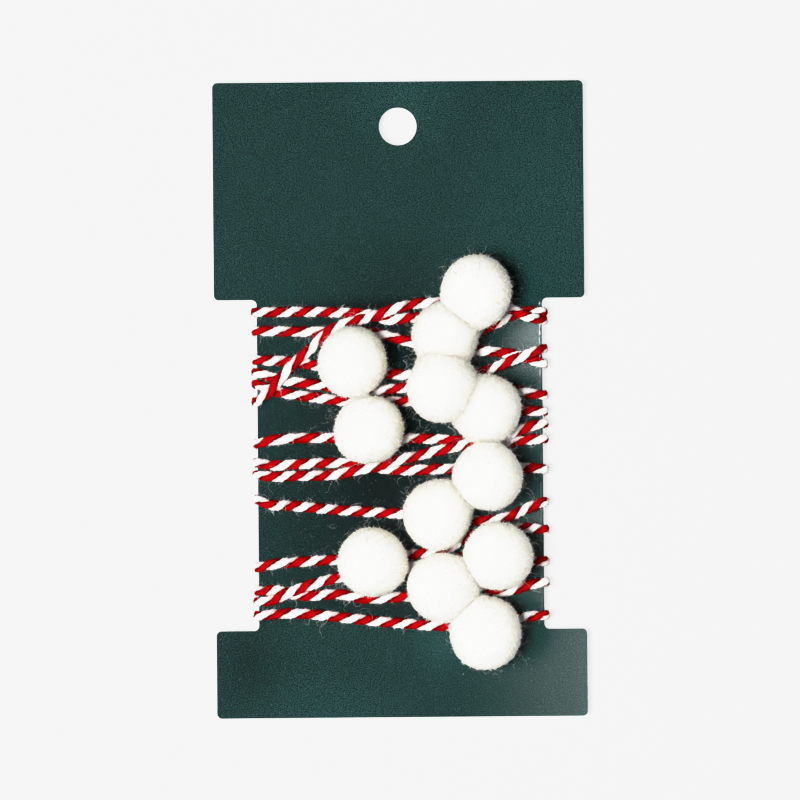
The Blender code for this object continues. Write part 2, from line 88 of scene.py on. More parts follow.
# The twine's route: one row for each turn, in the order of winding. front and back are points
# (x, y), and stripes are the x at which the red strand crosses the top of the front run.
Run = namedtuple("Run", "name front back stripes")
RUNS = [
    Run("a", [(-EDGE, 21.2), (-14.9, 21.0), (-7.2, 20.4), (-2.4, 19.1), (2.7, 19.6), (9.7, 18.4),
              (18.2, 16.0), (23.0, 18.0), (26.9, 19.9), (30.8, 20.8), (EDGE, 20.7)], [],
        [-29.6, -23.2, -17.3, -11.7, -5.0, 28.9]),
    Run("b", [(-EDGE, 16.7), (-19.7, 16.4), (-11.4, 16.5), (-5.6, 15.9), (1.6, 14.0), (9.7, 12.7),
              (18.5, 11.6), (26.5, 10.7), (EDGE, 8.4)], [],
        [-26.3, -18.0, 0.0, 24.3, 31.0]),
    Run("c", [(-EDGE, 9.7), (-26.2, 9.3), (-20.2, 8.3), (-11.5, 7.4), (-3.6, 6.3), (2.1, 5.9),
              (10.8, 6.6), (19.6, 6.4), (26.5, 9.0), (EDGE, 11.9)], [(-5.8, 11.7), (-25.0, 6.9)],
        [-33.3, -27.7, -21.5, -2.3, 25.7, 33.3]),
    Run("d", [(-EDGE, 6.7), (-28.8, 5.0), (-22.5, 4.0), (-18.0, 3.4), (-12.0, 2.6), (-6.2, 2.2),
              (1.9, 2.9), (9.9, 3.2), (18.0, 3.3), (24.0, 2.9), (31.2, 1.2), (EDGE, 0.8)], [],
        [-29.8, -22.7, -1.2, 32.9]),
    Run("e", [(-EDGE, 4.0), (-29.8, 2.2), (-24.4, 1.2), (-18.8, 0.4), (-14.3, -0.2), (-5.1, -0.6),
              (2.1, -0.5), (9.6, -0.9), (20.8, -2.3), (29.0, -2.9), (EDGE, -3.1)], [],
        [-28.4, -21.9, -15.4, 30.2]),
    Run("f", [(-EDGE, -0.3), (-31.1, 2.4), (-28.0, 6.0), (-25.2, 9.0), (-20.5, 13.1),
              (-18.7, 14.9), (-15.9, 17.1), (-12.7, 18.4), (-8.3, 19.4), (-1.3, 21.7), (2.7, 22.7),
              (9.7, 23.2), (18.9, 22.5), (25.5, 22.0), (30.0, 19.9), (EDGE, 18.7)], [],
        [-30.7, -24.0, -17.7, -10.7, -5.0, 2.7, 29.0, 33.4]),
    Run("g", [(-EDGE, -10.4), (-31.2, -9.6), (-26.6, -9.2), (-7.8, -9.4), (9.1, -9.6),
              (20.7, -10.7), (25.6, -10.6), (29.1, -10.1), (EDGE, -9.7)], [],
        [-32.5, -22.3, 4.8, 11.5, 29.7]),
    Run("h", [(-EDGE, -15.0), (-31.7, -15.5), (-23.6, -15.3), (-14.4, -15.1), (-7.4, -16.1),
              (-0.8, -16.9), (9.4, -16.8), (20.7, -16.6), (29.0, -16.6), (EDGE, -16.9)], [],
        [-31.5, -24.9, -18.5, -5.4, -0.3, 6.6, 31.1]),
    Run("i", [(-EDGE, -17.9), (-31.7, -18.2), (-25.2, -18.1), (-15.9, -17.9), (-7.2, -16.2),
              (2.3, -13.9), (9.0, -12.4), (20.2, -10.0), (26.3, -8.6), (31.9, -6.5), (EDGE, -6.0)],
        [], [-31.1, -25.1, -12.1, -3.7, 3.7, 10.9, 30.1]),
    Run("j", [(-EDGE, -23.8), (-32.4, -24.8), (-27.6, -25.2), (-11.1, -26.7), (0.5, -27.5),
              (8.8, -28.3), (17.0, -29.2), (25.6, -28.4), (30.7, -26.2), (EDGE, -24.8)], [],
        [-31.8, -26.4, -20.7, -15.3, -9.5, -3.8, 18.6, 26.4, 32.3]),
    Run("k", [(-EDGE, -40.1), (-32.2, -39.5), (-26.1, -38.9), (-15.6, -38.3), (-7.1, -38.1),
              (1.5, -37.4), (7.1, -36.5), (12.2, -35.4), (16.2, -32.7), (18.9, -32.3),
              (25.6, -31.8), (28.8, -31.0), (EDGE, -31.5)], [],
        [-32.9, -24.8, -17.9, 3.9, 29.2, 33.6]),
    Run("l", [(-EDGE, -45.7), (-30.0, -45.6), (-24.6, -46.8), (-13.6, -46.8), (-10.5, -47.5),
              (-2.7, -47.5), (2.2, -47.2), (9.9, -46.6), (18.7, -45.6), (24.8, -46.3),
              (31.5, -44.5), (EDGE, -44.1)], [],
        [-33.0, -28.3, -22.4, -16.1, 29.9]),
    Run("m", [(-EDGE, -48.3), (-31.9, -48.1), (-27.6, -46.4), (-21.5, -44.2), (-15.4, -42.7),
              (-7.1, -41.2), (1.5, -40.2), (9.2, -39.0), (15.0, -38.0), (23.4, -38.6),
              (EDGE, -39.1)], [],
        [-30.3, -23.5, -16.6]),
    Run("n", [(-EDGE, -51.6), (-26.4, -51.1), (-19.6, -51.6), (-12.7, -52.4), (-0.3, -53.7),
              (11.7, -54.4), (20.4, -53.5), (27.5, -52.6), (EDGE, -52.0)], [],
        [-29.9, -22.1, -15.2, -8.8, -2.6, 3.4, 10.3, 32.8]),
]

# The pompoms: centre on the card, radius, lift off the card, the run that each is strung on and
# the pompoms that it presses into.
Pompom = namedtuple("Pompom", "name x y radius lift run presses")
POMPOMS = [
    Pompom("pompom_01", 19.0, 25.7, 8.4, 2.0, "f", ["pompom_02"]),
    Pompom("pompom_02", 10.5, 15.6, 8.1, 0.0, "a", []),
    Pompom("pompom_03", -11.4, 9.0, 8.4, 0.0, "c", []),
    Pompom("pompom_04", 9.8, 2.6, 8.2, 2.6, "d", ["pompom_02", "pompom_05"]),
    Pompom("pompom_05", 20.8, -2.3, 8.2, 0.0, "e", []),
    Pompom("pompom_06", -7.8, -7.3, 8.5, 0.0, "g", ["pompom_03"]),
    Pompom("pompom_07", 20.7, -18.3, 8.5, 2.0, "h", ["pompom_05", "pompom_08"]),
    Pompom("pompom_08", 8.8, -27.6, 8.3, 0.0, "j", []),
    Pompom("pompom_09", 23.4, -37.8, 8.4, 2.0, "m", ["pompom_11"]),
    Pompom("pompom_10", -7.1, -39.5, 8.4, 0.9, "k", []),
    Pompom("pompom_11", 9.9, -45.1, 8.4, 0.6, "l", []),
    Pompom("pompom_12", 20.4, -56.1, 8.6, 0.0, "n", ["pompom_11"]),
]
HEIGHT_SHARE = 0.93
FLAT = np.array((1.0, 1.0, HEIGHT_SHARE))  # how a ball is flattened as it lies
UNEVENNESS = 0.012
# Each pompom's own form, in shares of its radius: how much bigger it is, how much further it
# reaches towards +X and +Y, and how much longer it is along X than Y and along one diagonal than
# the other.
FORMS = [
    (-0.002, -0.058, 0.072, -0.009, -0.012),
    (-0.002, 0.045, -0.054, -0.006, 0.009),
    (0.008, 0.007, 0.022, 0.002, 0.012),
    (0.032, 0.026, 0.028, -0.014, 0.016),
    (0.016, -0.017, 0.002, 0.000, -0.001),
    (-0.021, 0.041, -0.008, 0.015, 0.019),
    (-0.034, 0.022, -0.027, -0.006, -0.022),
    (0.015, -0.031, -0.015, -0.011, 0.010),
    (-0.016, -0.006, 0.032, 0.031, -0.011),
    (0.019, 0.038, 0.078, 0.008, -0.008),
    (-0.009, -0.025, 0.014, 0.008, 0.005),
    (0.013, -0.029, -0.006, -0.019, 0.007),
]
LONG_FOOT = {0: 0.12}  # how much further a pompom reaches towards the card's foot
THREAD_RISE = 2.5  # how far a pompom lifts the twine that runs through it
THREAD_FULL, THREAD_END = 0.35, 1.06  # where that lift is whole and where it ends, in radii


# --- Settings ---

def length(name, description, default):
    return FloatProperty(
        name=name, description=description, default=default, unit="LENGTH", precision=5
    )


def colour(name, description, default):
    return FloatVectorProperty(
        name=name, description=description, default=default, subtype="COLOR", min=0.0, max=1.0
    )


class BoardSettings(bpy.types.PropertyGroup):
    """The winding card."""

    width: length("Width", "Across the header and the foot", CARD_HIGH.x - CARD_LOW.x)
    height: length("Height", "From foot to header", CARD_HIGH.y - CARD_LOW.y)
    waist: length("Waist", "Width between the notches", 2 * EDGE * MM)
    header: length("Header", "Height of the part above the notches", 0.0522)
    foot: length("Foot", "Height of the part below the notches", 0.021)
    corner: length("Corner radius", "Of every corner", 0.0012)
    hole: length("Hole", "Diameter of the hang hole", 0.009)
    hole_down: length("Hole from top", "From the top edge to the hole's middle", 0.0108)
    cut_band: length("Cut band", "Width of the pale band that the die leaves", 0.00003)
    print_green: colour("Print", "Colour between the print's grains", (0.0003, 0.0080, 0.0075))
    print_fleck: colour("Print fleck", "Colour of the palest grains", (0.130, 0.370, 0.342))
    dust: colour("Dust", "Colour of the paper dust on the print", (0.12, 0.14, 0.14))
    # A pale line painted by the waist's right edge: a painted highlight where the print's edge
    # catches the light.
    painted_edge_glint: colour("Worn line", "Colour where the print is rubbed off", (0.62, 0.63, 0.63))
    core: colour("Core", "Colour of the board's cut edge", (0.80, 0.79, 0.765))


class TwineSettings(bpy.types.PropertyGroup):
    """The two-strand twine."""

    step: length("Step", "Between two sections along the twine", 0.00046)
    turn: length("Turn", "Length of a full turn of twist where nothing else sets it", 0.0070)
    fuzz: IntProperty(name="Fuzz", description="Short fibres on each strand", default=12500, min=0)
    stray: IntProperty(
        name="Stray hairs", description="Longer hairs off the twine", default=1500, min=0
    )
    red: colour("Red strand", "Colour of the dyed strand", (0.325, 0.0022, 0.0050))
    # The flank colours are painted shade down the strands' sides, in the groove between them; the
    # white one is also tinted by painted light thrown back from the red strand.
    red_painted_groove_shade: colour("Red flank", "Colour down the dyed strand's flanks", (0.15, 0.001, 0.003))
    white: colour("White strand", "Colour of the undyed strand", (0.89, 0.855, 0.84))
    white_painted_groove_shade_and_bounce: colour("White flank", "Colour down the undyed strand's flanks", (0.74, 0.53, 0.51))


class PompomSettings(bpy.types.PropertyGroup):
    """The felted pompoms."""

    pile: length("Pile", "Length of a tuft that stands out", 0.0006)
    fibres: IntProperty(name="Fibres", description="Fibres on each pompom", default=7800, min=0)
    wisps: IntProperty(
        name="Wisps", description="Longer loose fibres on each pompom", default=330, min=0
    )
    wool: colour("Wool", "Colour of the felted body", (0.977, 0.956, 0.850))
    fleece: colour("Fleece", "Colour of the fibres that stand out of it", (0.976, 0.966, 0.932))


class StageSettings(bpy.types.PropertyGroup):
    """The studio."""

    view_width: length("View width", "What the camera takes in at the card's level", 0.192)
    distance: length("Camera distance", "From the card", 2.4)
    roll: FloatProperty(
        name="Roll", description="Turn of the camera", default=math.radians(-0.48), subtype="ANGLE"
    )
    floor: colour("Floor", "Colour of the floor", (0.14, 0.14, 0.14))
    glow: FloatProperty(name="Glow", description="Light through the floor", default=0.535, min=0.0)


# --- Shared helpers ---

def deselect_all():
    if bpy.context.object and bpy.context.object.mode != "OBJECT":
        bpy.ops.object.mode_set(mode="OBJECT")
    bpy.ops.object.select_all(action="DESELECT")


def finish_piece(piece, slot, *nodes):
    """Puts a finished piece on the body and hides the imported parts that it takes the place of."""
    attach(piece, "root")
    if nodes:
        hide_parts(*nodes)


def link_to_scene(name, data):
    made = bpy.data.objects.new(name, data)
    bpy.context.scene.collection.objects.link(made)
    return made


def new_mesh_object(name, points, faces, material, uv=None):
    """An object from points in millimetres, with one material and perhaps a UV for each corner."""
    mesh = bpy.data.meshes.new(name)
    mesh.from_pydata((points * MM).tolist(), [], faces)
    if uv is not None:
        layer = mesh.uv_layers.new(name="along")
        layer.data.foreach_set("uv", uv.astype(np.float32).ravel())
    mesh.materials.append(material)
    mesh.update()
    return link_to_scene(name, mesh)


def joined(*shapes):
    """Several (points, faces) shapes as one."""
    faces, offset = [], 0
    for points, own_faces in shapes:
        faces += [[index + offset for index in face] for face in own_faces]
        offset += len(points)
    return np.concatenate([points for points, own_faces in shapes]), faces


def unit(vectors):
    return vectors / np.maximum(np.linalg.norm(vectors, axis=-1, keepdims=True), 1e-9)


def hair_mesh(paths, root_radius):
    """Closed three-sided hairs along paths of points, pointed at their far end."""
    count, steps = paths.shape[:2]
    along = unit(np.gradient(paths, axis=1))
    helper = np.where(np.abs(along[:, :1, 2:]) < 0.8, [[[0.0, 0.0, 1.0]]], [[[1.0, 0.0, 0.0]]])
    side = unit(np.cross(along, helper))
    other = np.cross(along, side)
    taper = 1.0 - 0.6 * np.arange(steps - 1) / max(steps - 1, 1)
    radius = np.asarray(root_radius).reshape(-1, 1, 1, 1) * taper[None, :, None, None]
    angles = np.arange(3)[:, None] * 2 * math.pi / 3
    ring = side[:, :-1, None, :] * np.cos(angles) + other[:, :-1, None, :] * np.sin(angles)
    body = paths[:, :-1, None, :] + ring * radius
    points = np.concatenate([body.reshape(count, -1, 3), paths[:, -1:, :]], axis=1)
    size = points.shape[1]
    corners = [(k, (k + 1) % 3) for k in range(3)]
    pattern = [(0, 2, 1)]
    for n in range(0, 3 * (steps - 2), 3):
        pattern += [(n + k, n + m, n + 3 + m, n + 3 + k) for k, m in corners]
    last = 3 * (steps - 2)
    pattern += [(last + k, last + m, size - 1) for k, m in corners]
    starts = np.arange(count)[:, None] * size
    faces = [face for part in pattern for face in (starts + np.array(part)).tolist()]
    return points.reshape(-1, 3), faces


def curls(roots, ways, sides, reach, turn, steps=7):
    """Paths of hairs that set off along ways and curl towards sides, by turn over their length."""
    along = np.linspace(0.0, 1.0, steps - 1)[None, :]
    angle = turn[:, None] * along + 0.6 * np.sin(7.0 * along + 2.0 * turn[:, None])
    ahead, aside = np.cos(angle)[:, :, None], np.sin(angle)[:, :, None]
    heading = ahead * ways[:, None, :] + aside * sides[:, None, :]
    moves = heading * (reach / (steps - 1))[:, None, None]
    starts = roots[:, None, :]
    return np.concatenate([starts, starts + np.cumsum(moves, axis=1)], axis=1)


# --- Materials ---

DARK, LIGHT, BLENDED = 6, 7, 2  # the colour sockets of a Mix node: its two inputs and its output


class Nodes:
    """Short ways to add nodes to a material or a world."""

    def __init__(self, owner):
        owner.use_nodes = True
        self.owner = owner
        self.tree = owner.node_tree

    def feed(self, socket, value):
        """Links an output to a socket, or sets the socket to a number, a place or a colour."""
        if isinstance(value, bpy.types.NodeSocket):
            self.tree.links.new(value, socket)
        elif socket.type == "RGBA":
            socket.default_value = (*value, 1.0)
        else:
            socket.default_value = value

    def add(self, kind, inputs, **values):
        """A node with its values set and its inputs fed by name or number."""
        node = self.tree.nodes.new(kind)
        for key, value in values.items():
            setattr(node, key, value)
        for key, value in inputs.items():
            self.feed(node.inputs[key], value)
        return node

    def finish(self, shader, inputs):
        """Feeds the inputs of the shader that ends the tree, and gives back the tree's owner."""
        for key, value in inputs.items():
            self.feed(self.tree.nodes[shader].inputs[key], value)
        return self.owner

    def coordinates(self, output="Object", scale=(1.0, 1.0, 1.0), shift=(0.0, 0.0, 0.0)):
        source = self.add("ShaderNodeTexCoord", {}).outputs[output]
        inputs = {"Vector": source, "Scale": scale, "Location": shift}
        return self.add("ShaderNodeMapping", inputs).outputs["Vector"]

    def split(self, vector):
        return self.add("ShaderNodeSeparateXYZ", {"Vector": vector}).outputs

    def noise(self, vector, scale, detail=2.0, roughness=0.5):
        inputs = {"Vector": vector, "Scale": scale, "Detail": detail, "Roughness": roughness}
        return self.add("ShaderNodeTexNoise", inputs).outputs["Fac"]

    def cells(self, vector, scale):
        """A random value of each small cell on the card, and how far a place is from its middle."""
        inputs = {"Vector": vector, "Scale": scale}
        node = self.add("ShaderNodeTexVoronoi", inputs, voronoi_dimensions="2D")
        parts = self.add("ShaderNodeSeparateColor", {"Color": node.outputs["Color"]})
        return parts.outputs["Red"], node.outputs["Distance"]

    def patch(self, x, y, wide, high):
        """A soft oval on the card, 1 in its middle and 0 from its rim outwards."""
        place = self.coordinates("Object", (1 / wide, 1 / high, 0.0), (-x / wide, -y / high, 0.0))
        ball = self.add("ShaderNodeTexGradient", {"Vector": place}, gradient_type="SPHERICAL")
        return ball.outputs["Fac"]

    def spread(self, value, low, high, to_low=0.0, to_high=1.0):
        """A value moved from one range to another, and held at its ends."""
        ends = {"From Min": low, "From Max": high, "To Min": to_low, "To Max": to_high}
        return self.add("ShaderNodeMapRange", {"Value": value, **ends}).outputs["Result"]

    def band(self, value, rise, full, fall, end):
        """1 from full to fall, and 0 up to rise and from end on."""
        return self.times(self.spread(value, rise, full), self.spread(value, end, fall))

    def math(self, operation, first, *others):
        """One operation on several values in turn."""
        for other in others:
            node = self.add("ShaderNodeMath", {0: first, 1: other}, operation=operation)
            first = node.outputs["Value"]
        return first

    def times(self, *values):
        return self.math("MULTIPLY", *values)

    def plus(self, *values):
        return self.math("ADD", *values)

    def scaled(self, tint, factor):
        inputs = {0: tint, "Scale": factor}
        return self.add("ShaderNodeVectorMath", inputs, operation="SCALE").outputs["Vector"]

    def blend(self, factor, dark, light):
        inputs = {0: factor, DARK: dark, LIGHT: light}
        return self.add("ShaderNodeMix", inputs, data_type="RGBA").outputs[BLENDED]

    def bump(self, height, distance, strength=1.0, **under):
        """The surface's slope from a height, on top of another bump if its Normal is given."""
        inputs = {"Height": height, "Distance": distance, "Strength": strength, **under}
        return self.add("ShaderNodeBump", inputs).outputs["Normal"]


def new_material(name):
    return Nodes(bpy.data.materials.new(name))


def shade(tint, factor):
    return tuple(min(part * factor, 1.0) for part in tint)


# Painted light and shade on the print, by places on the card in metres. A positive gain paints a
# highlight: a soft reflection above the hole, sheen on the header's and the foot's right, and a
# glow of light bounced from pompom_12. A negative gain paints shade on the header's lower middle
# next to the winding. The foot is also painted darker on its left and lighter along its bottom. A
# width or a height lists where it rises, is full, falls and ends.
PaintedLightPlace = namedtuple("PaintedLightPlace", "x y wide high gain")
PAINTED_LIGHT_PLACES = (
    PaintedLightPlace(0.0012, 0.0737, 0.017, 0.017, 0.45),
    PaintedLightPlace(0.0000, 0.0250, 0.028, 0.018, -0.40),
    PaintedLightPlace(-0.0370, -0.0620, 0.012, 0.016, -0.40),
    PaintedLightPlace(-0.0190, -0.0755, 0.024, 0.010, 0.35),
    PaintedLightPlace(0.0095, -0.0590, 0.008, 0.009, 0.60),
    PaintedLightPlace(0.0380, -0.0650, 0.032, 0.030, 0.14),
    PaintedLightPlace(0.0400, 0.0440, 0.030, 0.044, 0.30),
)
# Painted shade over the waist, darkest towards the pompoms
PAINTED_SHADE_PLACE = (-0.0036, -0.012, 0.041, 0.090)  # in the shade of the winding
CALM_PLACE = (0.034, -0.066, 0.042, 0.032)  # where the grain is weaker
# Heights where the painted shade of the winding rises, is full, falls and ends
PAINTED_SHADE_HEIGHT = (-0.0540, -0.0525, 0.0225, 0.0255)
# Where a pale line is painted as the highlight of the print's right edge catching the light
EDGE_GLINT_WIDTH = (0.03345, 0.03360, 0.03375, 0.03390)  # a line beside the waist's right side
EDGE_GLINT_HEIGHT = (-0.0535, -0.0525, 0.0225, 0.0235)
CURL_START = (0.016, 0.046)  # how far across the card the curl begins and is whole
CURL_HIP = (-0.0450, -0.0552)  # where the curl weakens towards the foot
CURL_NECK = (0.0192, 0.0226)  # where it ends, under the uppermost turn
LIP_START = (0.0338, 0.0340)
LIP_FOOT = (-0.0545, -0.0535)
GRAINS, DUST_GRAINS = 3250.0, 2000.0  # to a metre
GRAIN_DEPTH, CURL_DEPTH, LIP_DEPTH, WAVE_DEPTH = 0.000022, 0.0088, 0.00012, 0.0002


def print_grain(nodes, place):
    """The print's fine grain, from 0 between its grains to 1 on the palest."""
    weight, apart = nodes.cells(place, GRAINS)
    grain = nodes.math("POWER", nodes.spread(apart, 0.56, 0.0), 2.5)
    calm = nodes.patch(*CALM_PLACE)
    grain = nodes.times(
        grain, nodes.spread(weight, 0.0, 1.0, 0.45, 1.0), nodes.spread(calm, 0.0, 1.0, 1.0, 0.4)
    )
    return nodes.plus(grain, nodes.times(calm, 0.05))


def printed_colour(nodes, settings, place, grain):
    """The print's colour: its grain under painted highlights and painted shade, with dust, and a
    pale line painted along the waist's right edge as a highlight.
    """
    x, y = nodes.split(place)[:2]
    # painted shade over the waist, under the winding; the print's own tone varies a little with the
    # clouds
    painted_shade_mask = nodes.times(nodes.band(y, *PAINTED_SHADE_HEIGHT), nodes.patch(*PAINTED_SHADE_PLACE))
    clouds = nodes.spread(nodes.noise(place, 55.0, 3.0), 0.3, 0.7, 0.98, 1.02)
    tone_and_painted_light = nodes.math("SUBTRACT", clouds, nodes.times(painted_shade_mask, 0.88))
    # painted highlights and painted shade at the listed places
    for *oval, gain in PAINTED_LIGHT_PLACES:
        tone_and_painted_light = nodes.plus(tone_and_painted_light, nodes.times(nodes.patch(*oval), gain))
    fine = nodes.blend(grain, tuple(settings.print_green), tuple(settings.print_fleck))
    chance, middle = nodes.cells(place, DUST_GRAINS)
    chance = nodes.plus(chance, nodes.times(painted_shade_mask, 0.04))
    dust = nodes.times(nodes.spread(chance, 0.975, 0.976), nodes.spread(middle, 0.30, 0.15))
    # a pale line painted as the highlight of the print's right edge, strongest where the sheen is
    painted_edge_glint = nodes.times(
        nodes.band(x, *EDGE_GLINT_WIDTH),
        nodes.band(y, *EDGE_GLINT_HEIGHT),
        nodes.spread(y, 0.0040, 0.0150, 0.1, 1.0),
        nodes.spread(nodes.noise(place, 900.0, 2.0), 0.35, 0.6),
    )
    dusty = nodes.blend(dust, nodes.scaled(fine, tone_and_painted_light), tuple(settings.dust))
    return nodes.blend(painted_edge_glint, dusty, tuple(settings.painted_edge_glint))


def curled_sheet(nodes, place):
    """The height of the card's sheet, which curls up to a lip on its right and waves a little."""
    x, y = nodes.split(place)[:2]
    across = nodes.math("POWER", nodes.spread(x, *CURL_START), 1.6)
    lift = nodes.spread(y, 0.000, 0.018, 0.72, 1.06)
    drop = nodes.spread(y, *CURL_HIP, 0.0, 0.23)
    below_neck = nodes.spread(y, *CURL_NECK, 1.0, 0.0)
    curl = nodes.times(across, nodes.math("SUBTRACT", lift, drop), below_neck)
    lip = nodes.times(nodes.spread(x, *LIP_START), below_neck, nodes.spread(y, *LIP_FOOT))
    waves = nodes.noise(nodes.coordinates(scale=(1.0, 0.12, 1.0)), 70.0, 1.0)
    return nodes.plus(
        nodes.times(curl, CURL_DEPTH), nodes.times(waves, WAVE_DEPTH), nodes.times(lip, LIP_DEPTH)
    )


def printed_board(settings):
    """Dark green print on coated board: fine grain, painted highlights and painted shade, and a
    sheen where it curls.
    """
    nodes = new_material("printed_board")
    place = nodes.coordinates()
    grain = print_grain(nodes, place)
    sheet = nodes.bump(curled_sheet(nodes, place), 1.0)
    return nodes.finish("Principled BSDF", {
        "Base Color": printed_colour(nodes, settings, place, grain),
        "Roughness": nodes.spread(grain, 0.0, 1.0, 0.355, 0.46),
        "Specular IOR Level": 0.45,
        "Normal": nodes.bump(grain, GRAIN_DEPTH, 0.6, Normal=sheet),
    })


def board_core(settings):
    """Pale pressed fibre where the die has cut the board."""
    nodes = new_material("board_core")
    tint = tuple(settings.core)
    layers = nodes.noise(nodes.coordinates(scale=(1.0, 1.0, 6.0)), 1400.0, 3.0)
    dark, light = shade(tint, 0.86), shade(tint, 1.06)
    return nodes.finish("Principled BSDF", {
        "Base Color": nodes.blend(nodes.spread(layers, 0.3, 0.7), dark, light),
        "Roughness": 0.9,
        "Normal": nodes.bump(layers, 0.00004, 0.7),
    })


def spun_cotton(name, tint, haze=0.0, painted_groove_shade=(0.8, 0.8, 0.8)):
    """A spun strand: fibres lie along it, painted shade darkens its flanks towards the groove, and
    its tint varies a little.
    """
    nodes = new_material(name)
    strands = nodes.noise(nodes.coordinates("UV", (9.0, 1.1, 1.0)), 1.0, 3.0, 0.6)
    patches = nodes.noise(nodes.coordinates(), 420.0, 2.0)
    fine = nodes.blend(nodes.spread(strands, 0.34, 0.66), shade(tint, 0.66), shade(tint, 1.18))
    broad = nodes.blend(nodes.spread(patches, 0.3, 0.7), shade(tint, 0.90), shade(tint, 1.08))
    mixed = nodes.blend(nodes.spread(patches, 0.0, 1.0, 0.25, 0.6), fine, broad)
    around = nodes.split(nodes.coordinates("UV"))["X"]
    outward = nodes.math("ABSOLUTE", nodes.math("SUBTRACT", around, 0.5), 0.0)
    return nodes.finish("Principled BSDF", {
        # painted shade down the flanks, in the groove against the other strand
        "Base Color": nodes.blend(nodes.spread(outward, 0.19, 0.34), painted_groove_shade, mixed),
        "Roughness": 0.9,
        "Specular IOR Level": haze,
        "Sheen Weight": haze,
        "Sheen Roughness": 0.6,
        "Normal": nodes.bump(strands, 0.00022, 0.9),
    })


def felted_wool(name, tint, depth, painted_hollow_shade, glow):
    """Off-white wool felt with painted shade in its hollows. Light sinks in by depth, and glow
    paints light of its own that stands in for light scattered between fibres.
    """
    nodes = new_material(name)
    place = nodes.coordinates()
    mat = nodes.noise(place, 1500.0, 3.0, 0.65)
    tufts = nodes.noise(place, 420.0, 2.0)
    warm = (tint[0] * 0.99, tint[1] * 0.98, tint[2] * 0.955)
    broad = nodes.blend(nodes.spread(tufts, 0.28, 0.62), warm, shade(tint, 1.02))
    return nodes.finish("Principled BSDF", {
        # painted shade: darker where the felt's bump is low
        "Base Color": nodes.scaled(broad, nodes.spread(mat, 0.38, 0.62, painted_hollow_shade, 1.0)),
        "Roughness": 0.95,
        "Specular IOR Level": 0.05,
        "Sheen Weight": 0.3,
        "Sheen Roughness": 0.45,
        "Sheen Tint": tint,
        "Subsurface Weight": 1.0,
        "Subsurface Radius": (0.80, 0.85, 1.0),
        "Subsurface Scale": depth,
        # painted glow: light of its own stands in for light that scatters between fibres
        "Emission Color": tint,
        "Emission Strength": glow,
        "Normal": nodes.bump(mat, 0.00016, 0.7, Normal=nodes.bump(tufts, 0.0004, 0.6)),
    })


def pale_floor(settings):
    """A pale sweep, lit from behind a little so that things on it throw only a faint shade."""
    nodes = new_material("pale_floor")
    tint = tuple(settings.floor)
    grain = nodes.noise(nodes.coordinates(), 900.0, 2.0)
    return nodes.finish("Principled BSDF", {
        "Base Color": nodes.blend(grain, shade(tint, 0.995), shade(tint, 1.005)),
        "Roughness": 1.0,
        "Specular IOR Level": 0.0,
        "Emission Color": (1.0, 1.0, 1.0),
        "Emission Strength": settings.glow,
    })


# --- The card ---

def select_parts(piece, kind, wanted):
    """Selects the edges or faces of a piece for which wanted(part) holds, and enters edit mode."""
    deselect_all()
    piece.select_set(True)
    bpy.context.view_layer.objects.active = piece
    bpy.ops.object.mode_set(mode="EDIT")
    bpy.ops.mesh.select_mode(type=kind)
    bpy.ops.mesh.select_all(action="DESELECT")
    bpy.ops.object.mode_set(mode="OBJECT")
    parts = piece.data.edges if kind == "EDGE" else piece.data.polygons
    for part in parts:
        part.select = wanted(part)
    bpy.ops.object.mode_set(mode="EDIT")


def apply_modifier(piece, kind, **values):
    bpy.context.view_layer.objects.active = piece
    bpy.ops.object.modifier_add(type=kind)
    modifier = piece.modifiers[-1]
    for key, value in values.items():
        setattr(modifier, key, value)
    bpy.ops.object.modifier_apply(modifier=modifier.name)


def cut_outline(settings):
    """The board with its two notches and its rounded corners."""
    half, waist, top = settings.width / 2, settings.waist / 2, settings.height / 2
    shoulder, hip = top - settings.header, settings.foot - top
    columns = (-half, -waist, waist, half)
    rows = (-top, hip, shoulder, top)
    deselect_all()
    bpy.ops.mesh.primitive_grid_add(x_subdivisions=3, y_subdivisions=3, size=2.0)
    board = bpy.context.active_object
    board.name = board.data.name = "printed_card"
    for vert in board.data.vertices:
        column, row = round((vert.co.x + 1) * 1.5), round((vert.co.y + 1) * 1.5)
        vert.co = (columns[column], rows[row], CARD_HIGH.z)

    def in_notch(face):
        return abs(face.center.x) > waist and hip < face.center.y < shoulder

    def at_corner(edge):
        first, second = (board.data.vertices[n].co for n in edge.vertices)
        upright = abs(first.z - second.z) > 1e-5
        straight = abs(abs(first.x) - waist) < 1e-5 and abs(abs(first.y) - top) < 1e-5
        return upright and not straight

    select_parts(board, "FACE", in_notch)
    bpy.ops.mesh.delete(type="FACE")
    bpy.ops.object.mode_set(mode="OBJECT")
    apply_modifier(board, "SOLIDIFY", thickness=CARD_HIGH.z - CARD_LOW.z, offset=-1.0)
    select_parts(board, "EDGE", at_corner)
    bpy.ops.mesh.bevel(offset=settings.corner, offset_type="OFFSET", segments=6, affect="EDGES")
    bpy.ops.mesh.select_all(action="SELECT")
    bpy.ops.mesh.dissolve_limited(angle_limit=math.radians(1))
    bpy.ops.object.mode_set(mode="OBJECT")
    return board


def punch_hole(board, settings):
    deselect_all()
    place = (0.0, settings.height / 2 - settings.hole_down, CARD_HIGH.z)
    radius = settings.hole / 2
    bpy.ops.mesh.primitive_cylinder_add(vertices=72, radius=radius, depth=0.01, location=place)
    punch = bpy.context.active_object
    deselect_all()
    board.select_set(True)
    apply_modifier(board, "BOOLEAN", operation="DIFFERENCE", solver="EXACT", object=punch)
    bpy.data.objects.remove(punch, do_unlink=True)


